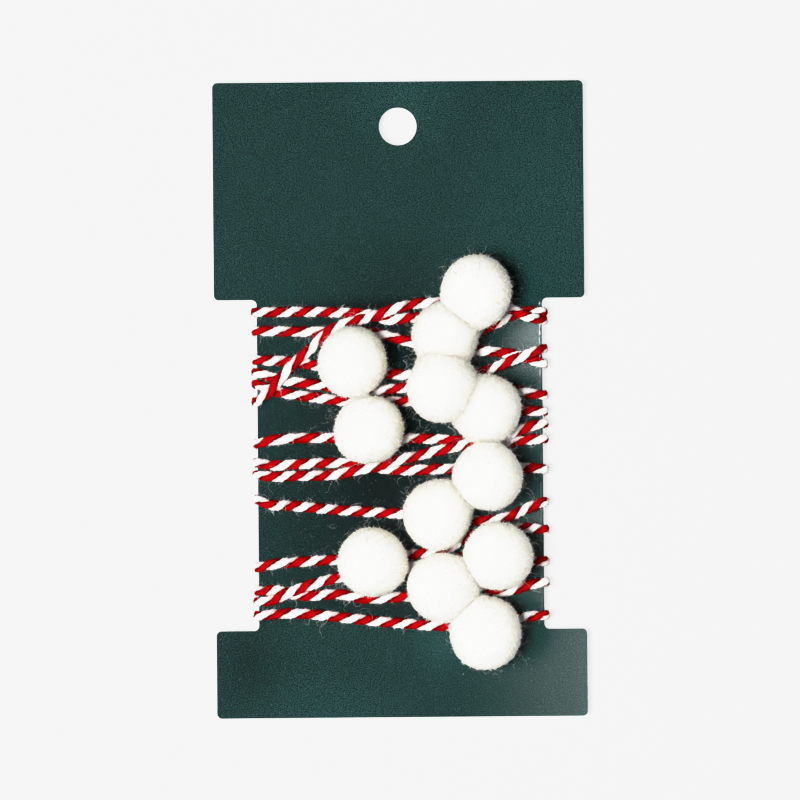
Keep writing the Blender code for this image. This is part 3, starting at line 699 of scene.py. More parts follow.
def dress_edge(board, settings):
    """Leaves the board's core bare at its cut edge, and a narrow pale band along the rim."""
    board.data.materials.clear()
    board.data.materials.append(printed_board(settings))
    board.data.materials.append(board_core(settings))
    rim = set()
    for face in board.data.polygons:
        cut = abs(face.normal.z) < 0.5
        face.material_index = 1 if cut else 0
        if cut:
            rim.update(tuple(sorted(key)) for key in face.edge_keys)

    def at_rim(edge):
        first, second = (board.data.vertices[n].co for n in edge.vertices)
        return abs(first.z - second.z) < 1e-6 and tuple(sorted(edge.vertices)) in rim

    select_parts(board, "EDGE", at_rim)
    bpy.ops.mesh.bevel(
        offset=settings.cut_band, offset_type="OFFSET", segments=2, affect="EDGES", material=1
    )
    bpy.ops.object.mode_set(mode="OBJECT")


def model_board(settings):
    """The board, cut, punched and dressed."""
    board = cut_outline(settings)
    punch_hole(board, settings)
    dress_edge(board, settings)
    for face in board.data.polygons:
        face.use_smooth = abs(face.normal.z) < 0.99
    return board


# --- The twine ---

def ease(t):
    t = min(max(t, 0.0), 1.0)
    return t * t * (3.0 - 2.0 * t)


class Route:
    """A smooth height y over x through a run's points, given from low x to high x."""

    def __init__(self, points):
        self.points = points
        spans = [q[0] - p[0] for p, q in zip(points, points[1:])]
        chords = [(q[1] - p[1]) / span for p, q, span in zip(points, points[1:], spans)]
        inner = [
            (chords[i] * spans[i + 1] + chords[i + 1] * spans[i]) / (spans[i] + spans[i + 1])
            for i in range(len(chords) - 1)
        ]
        self.slopes = [chords[0]] + inner + [chords[-1]]

    def at(self, x):
        """Height and slope at x."""
        last = len(self.points) - 2
        i = 0
        while i < last and x > self.points[i + 1][0]:
            i += 1
        (x0, y0), (x1, y1) = self.points[i], self.points[i + 1]
        span = x1 - x0
        t = (x - x0) / span
        m0, m1 = self.slopes[i] * span, self.slopes[i + 1] * span
        y = (2 * t**3 - 3 * t**2 + 1) * y0 + (t**3 - 2 * t**2 + t) * m0
        y += (3 * t**2 - 2 * t**3) * y1 + (t**3 - t**2) * m1
        slope = (6 * t**2 - 6 * t) * y0 + (3 * t**2 - 4 * t + 1) * m0
        slope += (6 * t - 6 * t**2) * y1 + (3 * t**2 - 2 * t) * m1
        return y, slope / span


def firm(x):
    """0 at the card's side edges, where the twine is pressed flat, and 1 away from them."""
    return ease((EDGE - abs(x)) / TIGHTENING)


def half_width(x):
    return EDGE_HALF_WIDTH + (HALF_WIDTH - EDGE_HALF_WIDTH) * firm(x)


def overlap_stretches(upper, lower):
    """Stretches of x where two routes on one side of the card lie closer than they are wide."""
    found, start = [], None
    count = round(2 * EDGE / SCAN_STEP)
    for n in range(count + 1):
        x = n * SCAN_STEP - EDGE
        (y1, slope1), (y2, slope2) = upper.at(x), lower.at(x)
        reach = half_width(x) * (math.hypot(1, slope1) + math.hypot(1, slope2)) + CLEARANCE
        close = abs(y1 - y2) < reach
        if close and start is None:
            start = x
        if start is not None and (not close or n == count):
            found.append((start, x))
            start = None
    return found


def merged(stretches):
    """The same stretches in order, joined where less than a climb lies between them."""
    together = []
    for a, b in sorted(stretches):
        if together and a - together[-1][1] < CLIMB:
            together[-1] = (together[-1][0], max(b, together[-1][1]))
        else:
            together.append((a, b))
    return together


def share(x, stretches):
    """1 within the stretches, falling to 0 over the climb beside them and at the card's edge."""
    away = min((max(a - x, x - b, 0.0) for a, b in stretches), default=CLIMB)
    return ease(1.0 - away / CLIMB) * ease((EDGE - abs(x)) / EDGE_EASE)


Place = namedtuple("Place", "centre lateral normal half_width half_thickness front")


class Stretch:
    """One pass of twine across one side of the card, over some runs and under others."""

    def __init__(self, points, front, low=-EDGE, high=EDGE):
        self.route = Route(points)
        self.front = front
        self.low, self.high = low, high
        self.over, self.under = [], []
        self.pompom = None
        self.stripes = []

    def thread_rise(self, x):
        if not self.pompom:
            return 0.0
        away = abs(x - self.pompom.x) / self.pompom.radius
        part = (THREAD_END - away) / (THREAD_END - THREAD_FULL)
        return (THREAD_RISE + self.pompom.lift) * ease(part)

    def base_and_thickness(self, x):
        """How far the twine's inner side stands off its usual place, and its thickness."""
        over, under = share(x, self.over), share(x, self.under)
        upper = OVER_THICKNESS if self.front else TWINE - UNDER_THICKNESS - CLEARANCE
        thickness = min(
            TWINE - (TWINE - upper) * over,
            TWINE - (TWINE - UNDER_THICKNESS) * under,
            EDGE_THICKNESS[0] + (TWINE - EDGE_THICKNESS[0]) * firm(x),
        )
        return max((UNDER_THICKNESS + CLEARANCE) * over, self.thread_rise(x)), thickness

    def places(self, step):
        """Places along the pass from low x to high x, about a step apart."""
        x, found = self.low, []
        while x < self.high:
            found.append(self.place(x))
            x += step / math.hypot(1, self.route.at(x)[1])
        if self.high - (x - step) > step / 2:
            found.append(self.place(self.high))
        return found

    def place(self, x):
        y, slope = self.route.at(x)
        base, thickness = self.base_and_thickness(x)
        turn = math.atan(slope) * firm(x)
        out = 1.0 if self.front else -1.0
        centre = (x, y, CARD_MIDDLE + out * (FACE + base + thickness / 2))
        lateral, normal = (-math.sin(turn), math.cos(turn), 0.0), (0.0, 0.0, out)
        front = self if self.front else None
        return Place(centre, lateral, normal, half_width(x), thickness / 2, front)


def plan_twine():
    """All passes in the order of winding: front and back in turn, with the tails on the back."""
    fronts = [Stretch(run.front, True) for run in RUNS]
    backs = []
    for run, following in zip(RUNS, RUNS[1:]):
        points = [run.front[-1]] + run.back + [following.front[0]]
        backs.append(Stretch(points[::-1], False))
    for passes in (fronts, backs):
        for n, upper in enumerate(passes):
            for lower in passes[:n]:
                for close in overlap_stretches(upper.route, lower.route):
                    upper.over.append(close)
                    lower.under.append(close)
        for one in passes:
            one.over, one.under = merged(one.over), merged(one.under)
    for run, front in zip(RUNS, fronts):
        front.stripes = run.stripes
        front.pompom = next((p for p in POMPOMS if p.run == run.name), None)
    first, last = RUNS[0].front[0], RUNS[-1].front[-1]
    head = Stretch([first, (-TAIL_END, first[1] + TAIL_SLANT)], False, high=-TAIL_END)
    tail = Stretch([(TAIL_END, last[1] - TAIL_SLANT), last], False, low=TAIL_END)
    return fronts, backs, head, tail


def edge_places(side, y, step):
    """Places where the twine goes round the card's edge: to the back on the right, side 1, and
    to the front on the left, side -1."""
    middle, beside = EDGE_THICKNESS
    half_turn = math.pi * (CLEARANCE + middle / 2)
    count = max(6, round(half_turn / step))
    found = []
    for n in range(1, count):
        angle = math.pi / 2 - math.pi * n / count
        up = side * angle
        thickness = middle + (beside - middle) * (1.0 - abs(angle) / (math.pi / 2))
        reach = CLEARANCE + thickness / 2
        height = CARD_MIDDLE + math.sin(up) * (BOARD / 2 + reach)
        centre = (side * (EDGE + math.cos(up) * reach), y, height)
        normal = (side * math.cos(up), 0.0, math.sin(up))
        found.append(Place(centre, (0.0, 1.0, 0.0), normal, EDGE_HALF_WIDTH, thickness / 2, None))
    return found


def twine_places(step):
    """Every place along the twine from its first cut end to its last."""
    fronts, backs, head, tail = plan_twine()
    places = head.places(step)[::-1]
    for front, ahead in zip(fronts, [*backs, tail]):
        left, right = front.route.points[0][1], front.route.points[-1][1]
        places += edge_places(-1, left, step)
        places += front.places(step)
        places += edge_places(1, right, step)
        places += ahead.places(step)[::-1]
    return places


STRIPE_SHIFT = 0.22  # from a stripe's place in the table to the strand's crown
STRIPE_TURN = 1.07  # usual length of a turn between two stripes, in plain turns
LONG_GAP = 20  # how many turns a gap holds from which its turns are plain ones
PLY_SIDES = 12
PLY_OFFSET, PLY_REACH, PLY_SPREAD = 0.46, 0.54, 0.84  # shares of the twine's half width
SQUARENESS = 0.85
SETTLED = 0.22  # how far the twine swells inwards to lie on what is under it
RAGGEDNESS = 0.085


def twist_angles(places, distance, turn):
    """The strands' angle along the twine: the red one is on top at every stripe."""
    marks, start = [], 0
    for front, group in groupby(places, key=lambda place: place.front):
        along_x = [place.centre[0] for place in group]
        stop = start + len(along_x)
        for stripe in front.stripes if front else []:
            marks.append(float(np.interp(stripe + STRIPE_SHIFT, along_x, distance[start:stop])))
        start = stop
    angles = [math.pi / 2]
    for mark, following in zip(marks, marks[1:]):
        span = following - mark
        usual = turn * STRIPE_TURN if span < LONG_GAP * turn else turn
        angles.append(angles[-1] - 2 * math.pi * max(1, round(span / usual)))
    rate = -2 * math.pi / turn
    ends = [0.0, *marks, float(distance[-1])]
    before, after = angles[0] - rate * marks[0], angles[-1] + rate * (distance[-1] - marks[-1])
    return np.interp(distance, ends, [before, *angles, after])


def softened(values):
    """Takes the kinks out of a row of values, and leaves its ends where they are."""
    smooth = values.copy()
    smooth[1:-1] = (values[:-2] + 2 * values[1:-1] + values[2:]) / 4
    return smooth


def ply_outline():
    """One strand's section: rounded outside and flattened against the other strand."""
    angles = [2 * math.pi * n / PLY_SIDES for n in range(PLY_SIDES)]
    outline = []
    for sine, cosine in ((math.sin(angle), math.cos(angle)) for angle in angles):
        across = PLY_SPREAD * math.copysign(abs(sine) ** SQUARENESS, sine)
        out = PLY_OFFSET + PLY_REACH * math.copysign(abs(cosine) ** SQUARENESS, cosine)
        outline.append((max(out, 0.02), across))
    return np.array(outline)


# The wound twine as arrays along its length, in millimetres
Wound = namedtuple("Wound", "centre tangent lateral normal wide thick distance angle")


def wind_twine(settings):
    """Centre line, frame, half sizes, length so far and twist of the whole twine."""
    places = twine_places(settings.step / MM)
    centre, lateral, normal, wide, thick = (
        np.array([place[n] for place in places]) for n in range(5)
    )
    centre = softened(centre) - normal * SETTLED / 2
    thick = softened(thick) + SETTLED / 2
    tangent = unit(np.gradient(centre, axis=0))
    normal = unit(normal - tangent * np.sum(normal * tangent, axis=1, keepdims=True))
    facing = np.cross(normal, tangent)
    lateral = facing * np.sign(np.sum(facing * lateral, axis=1, keepdims=True))
    steps = np.linalg.norm(np.diff(centre, axis=0), axis=1)
    distance = np.concatenate([[0.0], np.cumsum(steps)])
    angle = twist_angles(places, distance, settings.turn / MM)
    return Wound(centre, tangent, lateral, normal, softened(wide), thick, distance, angle)


def ply_points(twine, number):
    """The points of one strand, ring after ring."""
    outline = ply_outline()
    turn = (twine.angle + math.pi * number)[:, None]
    swell = 0.05 * np.sin(twine.distance * 0.83 + 2 * number)
    breath = (1 + swell + 0.035 * np.sin(twine.distance * 0.31 + number))[:, None]
    out = outline[None, :, 0] * breath
    across = outline[None, :, 1] * (2 - breath)
    u = out * np.cos(turn) - across * np.sin(turn)
    v = np.clip(out * np.sin(turn) + across * np.cos(turn), -1.0, 1.0)
    u, v = (u * twine.wide[:, None])[:, :, None], (v * twine.thick[:, None])[:, :, None]
    points = twine.centre[:, None, :] + twine.lateral[:, None, :] * u + twine.normal[:, None, :] * v
    return points + raggedness(points, number)


def raggedness(points, number):
    """Small unevenness of the spun strand."""
    x, y, z = points[:, :, 0], points[:, :, 1], points[:, :, 2]
    sway = np.stack([
        np.sin(5.1 * x + 3.7 * z + number) * np.sin(4.3 * y),
        np.sin(6.3 * x - 2.9 * y + 2 * number) + 0.6 * np.sin(11.7 * x + 4.1 * y),
        np.sin(5.7 * x + 6.1 * y) * 0.6,
    ], axis=-1)
    return sway * RAGGEDNESS


def ply_mesh(points, distance):
    """Quads between the rings and a cap at each end, with UVs round and along the strand."""
    rings, sides = points.shape[:2]
    first = np.arange(rings - 1)[:, None] * sides
    k = np.arange(sides)[None, :]
    m = (k + 1) % sides
    quads = np.stack([first + k, first + m, first + sides + m, first + sides + k], axis=-1)
    faces = quads.reshape(-1, 4).tolist()
    faces.append(list(range(sides))[::-1])
    faces.append([(rings - 1) * sides + n for n in range(sides)])
    around = np.broadcast_to(k / sides, quads.shape[:2])
    after = around + 1.0 / sides
    low = np.broadcast_to(distance[:-1, None], quads.shape[:2])
    high = np.broadcast_to(distance[1:, None], quads.shape[:2])
    uv = np.stack([around, low, after, low, after, high, around, high], axis=-1).reshape(-1, 2)
    return (points.reshape(-1, 3), faces), np.concatenate([uv, np.zeros((2 * sides, 2))])


FUZZ_RADIUS, STRAY_RADIUS = 0.034, (0.016, 0.030)
FUZZ_ROOT = 0.06  # how deep in the strand a fibre starts
FUZZ_FLOOR = 0.03  # above what the trim lies on
OUTER_SIDES = [0, 1, 2, 3, PLY_SIDES - 3, PLY_SIDES - 2, PLY_SIDES - 1]
HAIR_SAG = 0.3  # share of its length by which a loose hair's end comes down


def short_fuzz(points, twine, count, rng):
    """Short fibres that stand off a strand's outer side."""
    rows = rng.integers(0, len(points), count)
    root = points[rows, rng.choice(OUTER_SIDES, count)]
    outward = unit(root - points[rows].mean(axis=1))
    way = outward + rng.normal(0, 0.45, (count, 3))
    way = unit(way + twine.tangent[rows] * rng.normal(0, 0.8, (count, 1)))
    inward = np.sum(way * twine.normal[rows], axis=1, keepdims=True)
    way = unit(way - twine.normal[rows] * np.minimum(inward, 0.0))
    tips = root + way * (rng.gamma(2.2, 0.25, (count, 1)) + 0.1)
    tips[:, 2] = np.maximum(tips[:, 2], FUZZ_FLOOR)
    paths = np.stack([root - outward * FUZZ_ROOT, tips], axis=1)
    return hair_mesh(paths, np.full(count, FUZZ_RADIUS))


def stray_hairs(points, twine, count, rng):
    """Longer curled hairs that leave the twine and lie over the card."""
    rows = rng.choice(np.flatnonzero(twine.normal[:, 2] > 0.9), count)
    root = points[rows, rng.integers(0, PLY_SIDES, count)]
    way = twine.lateral[rows] * rng.choice([-1.0, 1.0], (count, 1))
    way = way + twine.tangent[rows] * rng.normal(0, 0.9, (count, 1))
    way[:, 2] = rng.uniform(-0.3, 0.5, count)
    way = unit(way)
    side = unit(np.cross(np.array([[0.0, 0.0, 1.0]]), way) + rng.normal(0, 0.2, (count, 3)))
    reach = rng.gamma(2.2, 0.75, count) + 0.6
    paths = curls(root, way, side, reach, rng.normal(0, 2.2, count))
    sag = (HAIR_SAG * reach)[:, None] * np.linspace(0.0, 1.0, paths.shape[1])[None, :] ** 2
    paths[:, :, 2] = np.maximum(paths[:, :, 2] - sag, HAIR_FLOOR)
    return hair_mesh(paths, rng.uniform(*STRAY_RADIUS, count))


def model_strand(name, points, twine, settings, cotton, rng):
    """One strand with its fuzz, from the points of its rings."""
    strand, uv = ply_mesh(points, twine.distance)
    fuzz = short_fuzz(points, twine, settings.fuzz, rng)
    fuzz_uv = np.zeros((sum(len(face) for face in fuzz[1]), 2))
    piece = new_mesh_object(name, *joined(strand, fuzz), cotton, np.concatenate([uv, fuzz_uv]))
    piece.data.shade_smooth()
    return piece


def model_twine(settings):
    """The red and the white strand with their fuzz, and the hairs that stray from them."""
    rng = np.random.default_rng(TWINE_SEED)
    twine = wind_twine(settings)
    red_points, white_points = ply_points(twine, 0), ply_points(twine, 1)
    white_tint = tuple(settings.white)
    red_cotton = spun_cotton("red_cotton", tuple(settings.red), 0.0, tuple(settings.red_painted_groove_shade))
    white_cotton = spun_cotton("white_cotton", white_tint, 0.1, tuple(settings.white_painted_groove_shade_and_bounce))
    stray_cotton = spun_cotton("stray_cotton", white_tint)
    red = model_strand("red_strand", red_points, twine, settings, red_cotton, rng)
    white = model_strand("white_strand", white_points, twine, settings, white_cotton, rng)
    hairs = stray_hairs(white_points, twine, settings.stray, rng)
    return red, white, new_mesh_object("stray_hairs", *hairs, stray_cotton)


# --- The pompoms ---

BODY_SHARE = 0.965  # of a pompom's radius, where the pile begins
CREASE = 1.0  # half the width of the rounded crease between two pompoms
CREASE_RIM = 0.9  # how far in from the crease its rounding ends
CREASE_SLOPE = (0.3, 1.8)
CLUMP = 5  # fibres that stand together in a tuft
TALL_SHARE = 0.34  # of the tufts
TALL_REACH, LOW_REACH = (0.9, 1.6), (0.3, 0.6)  # shares of the pile's length
BRIM = 1.1  # how deep into a dent the pile goes on
PRESS_GAP = 0.05  # between a dent and the pompom that presses it
TUFT_ROOT = 0.08  # how deep in the felt a tuft starts
SWIRL = 0.22  # how far the pile leans together
LEAST_OUTWARD = 0.25  # of a fibre's way, so that none points into its ball
LOOSE_SIDE = np.array((0.8, 0.6, 0.0))  # where most wisps stand
SEAM_FIBRES = 860
TUFT_RADIUS, WISP_RADIUS, SEAM_RADIUS = (0.050, 0.080), (0.018, 0.030), 0.05


def ball_centre(pompom):
    height = CARD_TOP + CLEARANCE + pompom.lift + pompom.radius * HEIGHT_SHARE
    return np.array((pompom.x, pompom.y, height))


def ball_surface(pompom, ways):
    """A pompom's surface along each way, from its middle."""
    number = POMPOMS.index(pompom)
    x, y = ways[:, 0], ways[:, 1]
    swell = np.sin(3 * x + number) + np.cos(4 * y - 2 * number)
    forms = np.stack([np.ones_like(x), x, y, x**2 - y**2, 2 * x * y], axis=-1)
    size = pompom.radius * (1 + UNEVENNESS * swell + forms @ np.array(FORMS[number]))
    size = size + LONG_FOOT.get(number, 0.0) * pompom.radius * np.maximum(-y, 0.0) ** 1.3
    return ways * size[:, None] * FLAT


def contact(lower, upper):
    """The ring where two pompoms press together, before flattening: middle, axis and radius."""
    middle, far = ball_centre(lower) / FLAT, ball_centre(upper) / FLAT
    apart = np.linalg.norm(far - middle)
    axis = (far - middle) / apart
    along = (apart**2 + lower.radius**2 - upper.radius**2) / (2 * apart)
    return middle + axis * along, axis, math.sqrt(lower.radius**2 - along**2)


def pressing(pompom):
    """The pompoms that press into this one."""
    return [other for other in POMPOMS if pompom.name in other.presses]


def swollen(pompom, points):
    """Rounds the crease along the rings where a pompom touches others, as pressed wool does."""
    moved = points / FLAT
    for other in POMPOMS:
        if pompom.name in other.presses:
            middle, axis, ring = contact(pompom, other)
        elif other.name in pompom.presses:
            middle, axis, ring = contact(other, pompom)
        else:
            continue
        slope = np.clip(abs((ball_centre(pompom) / FLAT - middle) @ axis) / ring, *CREASE_SLOPE)
        away = moved - middle
        height = (away @ axis)[:, None]
        spoke = away - height * axis
        far = np.linalg.norm(spoke, axis=1, keepdims=True)
        rim = np.clip((far - ring + CREASE_RIM) / CREASE_RIM, 0.0, 1.0)
        fill = slope * (np.sqrt(height**2 + CREASE**2) - np.abs(height)) * rim
        moved = moved + spoke / np.maximum(far, 1e-6) * fill
    return moved * FLAT


def pressed(pompom, points):
    """Moves points out of the pompoms that press into this one, and off the card."""
    moved = points.copy()
    for other in pressing(pompom):
        middle = ball_centre(other)
        away = (moved - middle) / FLAT
        far = np.linalg.norm(away, axis=1, keepdims=True)
        surface = ball_surface(other, away / np.maximum(far, 1e-6)) / FLAT
        limit = np.linalg.norm(surface, axis=1, keepdims=True) * BODY_SHARE - PRESS_GAP
        away = np.where(far < limit, away * limit / np.maximum(far, 1e-6), away)
        moved = middle + away * FLAT
    moved[:, 2] = np.maximum(moved[:, 2], FELT_FLOOR)
    return moved


def sphere_ways(count, rng):
    """Directions spread evenly over a sphere, a little shaken."""
    n = np.arange(count) + 0.5
    polar = np.arccos(1 - 2 * n / count)
    around = math.pi * (1 + math.sqrt(5)) * n
    ways = [np.cos(around) * np.sin(polar), np.sin(around) * np.sin(polar), np.cos(polar)]
    return unit(np.stack(ways, axis=-1) + rng.normal(0, 0.02, (count, 3)))


def tuft_lean(ways, number):
    """How the pile leans together in tufts: a smooth, swirling shift for each direction."""
    x, y, z = (ways[:, n] for n in range(3))
    return np.stack([
        np.sin(17 * y + 11 * z + number) + np.sin(29 * z - 23 * x),
        np.sin(19 * z + 13 * x - number) + np.sin(31 * x + 27 * y),
        np.sin(18 * x + 12 * y + 2 * number) + np.sin(25 * y - 33 * z),
    ], axis=-1)


def planted(pompom, ways, *details):
    """Roots, ways and details of the fibres that don't stand deep in a dent."""
    surface = swollen(pompom, ball_centre(pompom) + ball_surface(pompom, ways) * BODY_SHARE)
    roots = pressed(pompom, surface)
    clear = np.linalg.norm(roots - surface, axis=1) < BRIM
    return [part[clear] for part in (roots, ways, *details)]


def combed(pompom, ways, shift, scatter, rng):
    """The ways in which fibres stand once they lean together, shift and scatter."""
    lean = SWIRL * tuft_lean(ways, POMPOMS.index(pompom))
    turned = unit(ways + lean + shift + rng.normal(0, scatter, ways.shape))
    outward = np.sum(turned * ways, axis=1, keepdims=True)
    return unit(turned + ways * np.maximum(LEAST_OUTWARD - outward, 0.0))


def above_card(paths, radius):
    """Hairs along those paths that stay clear of the card."""
    clear = paths[:, :, 2].min(axis=1) > PILE_FLOOR
    return hair_mesh(paths[clear], radius[clear])


def tufts(pompom, settings, rng):
    """The short pile that covers a pompom, in clumps."""
    middles = sphere_ways(settings.fibres // CLUMP, rng)
    count = len(middles)
    ways = np.repeat(middles, CLUMP, axis=0)
    ways = unit(ways + rng.normal(0, 0.009, ways.shape))
    tall = rng.random((count, 1)) < TALL_SHARE
    tall_reach, low_reach = (rng.uniform(*reach, tall.shape) for reach in (TALL_REACH, LOW_REACH))
    reach = np.where(tall, tall_reach, low_reach)
    shift = rng.normal(0, 0.36, (count, 3))
    details = (np.repeat(part, CLUMP, axis=0) for part in (reach, shift))
    roots, ways, reach, shift = planted(pompom, ways, *details)
    turned = combed(pompom, ways, shift, 0.10, rng)
    reach = reach * rng.uniform(0.6, 1.0, reach.shape) * settings.pile / MM
    paths = np.stack([roots - ways * TUFT_ROOT, roots + turned * reach], axis=1)
    return above_card(paths, rng.uniform(*TUFT_RADIUS, len(roots)))


def wisps(pompom, settings, rng):
    """Longer curled fibres that stand out of the pile."""
    ways = sphere_ways(settings.wisps, rng)
    ways = ways[rng.random(len(ways)) < 0.55 + 0.45 * ways @ LOOSE_SIDE]
    roots, ways = planted(pompom, ways)
    count = len(roots)
    turned = combed(pompom, ways, 0.0, 1.1, rng)
    side = unit(np.cross(turned, rng.normal(0, 1, ways.shape)))
    reach = settings.pile / MM * (rng.gamma(2.0, 0.9, count) + 1.2)
    paths = curls(roots, turned, side, reach, rng.normal(0, 2.6, count))
    return above_card(paths, rng.uniform(*WISP_RADIUS, count))


def seam(lower, upper, rng):
    """Matted fibres that bridge the crease where one pompom presses into another."""
    each = (SEAM_FIBRES, 1)
    middle, axis, ring = contact(lower, upper)
    first = unit(np.cross(axis, (0.0, 0.0, 1.0)))
    second = np.cross(axis, first)
    around = rng.uniform(0, 2 * math.pi, each)
    out = np.cos(around) * first + np.sin(around) * second
    aside = rng.normal(0, 0.45, each)
    roots = middle + axis * aside + out * (ring + 0.80 * CREASE - rng.uniform(0.1, 0.5, each))
    tips = roots + out * rng.uniform(0.2, 0.7, each) + axis * rng.normal(0, 0.7, each)
    tips = tips + rng.normal(0, 0.2, tips.shape)
    return above_card(np.stack([roots, tips], axis=1) * FLAT, np.full(SEAM_FIBRES, SEAM_RADIUS))


def model_pompom(pompom, settings, felt, fibre):
    """A felted ball, dented where its neighbours press in, with its pile."""
    rng = np.random.default_rng(POMPOM_SEED + POMPOMS.index(pompom))
    deselect_all()
    bpy.ops.mesh.primitive_ico_sphere_add(subdivisions=5, radius=1.0)
    ball = bpy.context.active_object
    ways = np.array([vert.co for vert in ball.data.vertices])
    faces = [list(face.vertices) for face in ball.data.polygons]
    bpy.data.objects.remove(ball, do_unlink=True)
    lumps = 1 + 0.006 * np.sin(9 * ways[:, 0] + 5 * ways[:, 2]) * np.sin(8 * ways[:, 1] + 3)
    lumps = lumps + rng.normal(0, 0.015, len(ways))
    body = ball_surface(pompom, unit(ways)) * lumps[:, None] * BODY_SHARE
    points = pressed(pompom, swollen(pompom, ball_centre(pompom) + body))
    pile = [tufts(pompom, settings, rng), wisps(pompom, settings, rng)]
    pile += [seam(pompom, other, rng) for other in pressing(pompom)]
    piece = new_mesh_object(f"felted_{pompom.name}", *joined((points, faces), *pile), felt)
    piece.data.materials.append(fibre)
    for face in piece.data.polygons[len(faces):]:
        face.material_index = 1
    piece.data.shade_smooth()
    return piece


# --- Loose fibres ---

LINT_FIBRES = 1000
LINT_RADIUS = (0.012, 0.023)
LINT_TINT = (0.86, 0.85, 0.83)
LINT_AREA = (EDGE - 1.5, -70.0, 34.0)  # the most x, the least y and the most y


def model_lint():
    """Single curled fibres that have come off and lie on the card close to the pompoms."""
    rng = np.random.default_rng(LINT_SEED)
    near = [POMPOMS[n] for n in rng.choice(len(POMPOMS), LINT_FIBRES)]
    around = rng.uniform(0, 2 * math.pi, LINT_FIBRES)
    away = np.array([pompom.radius for pompom in near]) + rng.gamma(1.3, 0.75, LINT_FIBRES) - 0.2
    x = np.array([pompom.x for pompom in near]) + np.cos(around) * away
    y = np.array([pompom.y for pompom in near]) + np.sin(around) * away
    side, low, high = LINT_AREA
    on_card = (np.abs(x) < side) & (y < high) & (y > low)
    roots = np.stack([x, y, np.full_like(x, HAIR_FLOOR)], axis=-1)[on_card]
    count = len(roots)
    heading = rng.uniform(0, 2 * math.pi, count)
    ways = np.stack([np.cos(heading), np.sin(heading), np.zeros(count)], axis=-1)
    sides = np.stack([-np.sin(heading), np.cos(heading), np.zeros(count)], axis=-1)
    reach = rng.gamma(2.0, 0.75, count) + 0.4
    paths = curls(roots, ways, sides, reach, rng.normal(0, 3.0, count), 8)
    fibres = hair_mesh(paths, rng.uniform(*LINT_RADIUS, count))
    return new_mesh_object("card_lint", *fibres, spun_cotton("lint_cotton", LINT_TINT))


# --- The studio ---

# Square soft boxes that look at the card: angles in degrees, distance and size in metres
SoftBox = namedtuple("SoftBox", "name azimuth elevation distance size power diffuse glossy")
SOFT_BOXES = (
    SoftBox("overhead_box", 195.0, 74.0, 3.0, 0.8, 122.0, True, False),
    SoftBox("side_box", 184.0, 50.0, 3.0, 1.1, 55.0, False, True),
)
CAMERA_SHIFT = -0.00014  # down the card, in metres
CAMERA_SENSOR = 36.0
BRIGHTEST = 2.5  # light that shows as full white
SHOULDER = (  # light, and how it shows
    (0.1, 0.1), (0.2, 0.226), (0.3, 0.41), (0.4, 0.60), (0.5, 0.755), (0.6, 0.86), (0.75, 0.925),
    (1.0, 0.96), (1.6, 0.975),
)
HORIZON_GLOW, ZENITH_GLOW, GLOW_LEAN = 6.0, 0.03, 0.4
GLOW_EDGE = (0.08, 0.30)  # heights between which the tent's light fades, as a share of its top
BRIGHT_SIDE = (-0.34, -0.94, 0.0)  # the way to the brightest part of the horizon


def add_soft_box(box):
    turn, up = math.radians(box.azimuth), math.radians(box.elevation)
    way = Vector((math.cos(turn) * math.cos(up), math.sin(turn) * math.cos(up), math.sin(up)))
    data = bpy.data.lights.new(box.name, "AREA")
    data.shape = "SQUARE"
    data.size = box.size
    data.energy = box.power
    light = link_to_scene(box.name, data)
    light.location = way * box.distance
    light.rotation_euler = (-light.location).to_track_quat("-Z", "Y").to_euler()
    light.visible_diffuse = box.diffuse
    light.visible_glossy = box.glossy


def set_camera(settings):
    data = bpy.data.cameras.new("camera")
    data.sensor_width = CAMERA_SENSOR
    data.lens = CAMERA_SENSOR * settings.distance / settings.view_width
    data.clip_end = 20.0
    camera = link_to_scene("camera", data)
    camera.location = (0.0, CAMERA_SHIFT, CARD_HIGH.z + settings.distance)
    camera.rotation_euler = (0.0, 0.0, settings.roll)
    bpy.context.scene.camera = camera


def set_floor(settings):
    deselect_all()
    bpy.ops.mesh.primitive_plane_add(size=8.0)
    floor = bpy.context.active_object
    floor.name = "studio_floor"
    floor.data.materials.append(pale_floor(settings))


def light_tent():
    """A world like a light tent: bright low down, most at the lower left, and dim overhead."""
    nodes = Nodes(bpy.data.worlds.new("studio"))
    way = nodes.add("ShaderNodeTexCoord", {}).outputs["Generated"]
    inputs = {0: way, 1: BRIGHT_SIDE}
    across = nodes.add("ShaderNodeVectorMath", inputs, operation="DOT_PRODUCT").outputs["Value"]
    fade = nodes.spread(nodes.split(way)["Z"], *GLOW_EDGE, HORIZON_GLOW, ZENITH_GLOW)
    side = nodes.spread(across, -1.0, 1.0, 1 - GLOW_LEAN, 1 + GLOW_LEAN)
    return nodes.finish("Background", {"Strength": nodes.times(fade, side)})


def soften_highlights():
    """Plain colours, with a soft shoulder so that white wool keeps its shading in bright light."""
    view = bpy.context.scene.view_settings
    view.view_transform = "Standard"
    view.use_curve_mapping = True
    mapping = view.curve_mapping
    mapping.white_level = (BRIGHTEST, BRIGHTEST, BRIGHTEST)
    for light, shown in SHOULDER:
        point = mapping.curves[3].points.new(light / BRIGHTEST, shown)
        point.handle_type = "VECTOR" if light == shown else "AUTO_CLAMPED"
    mapping.update()


def set_lights():
    bpy.context.scene.world = light_tent()
    for box in SOFT_BOXES:
        add_soft_box(box)
    soften_highlights()


# --- Operators ---

class TRIM_OT_stage(bpy.types.Operator):
    """Set up the camera, the floor and the soft light"""

    bl_idname = "trim.stage"
    bl_label = "Set the stage"

    def execute(self, context):
        settings = context.scene.trim_stage
        set_camera(settings)
        set_floor(settings)
        set_lights()
        return {"FINISHED"}


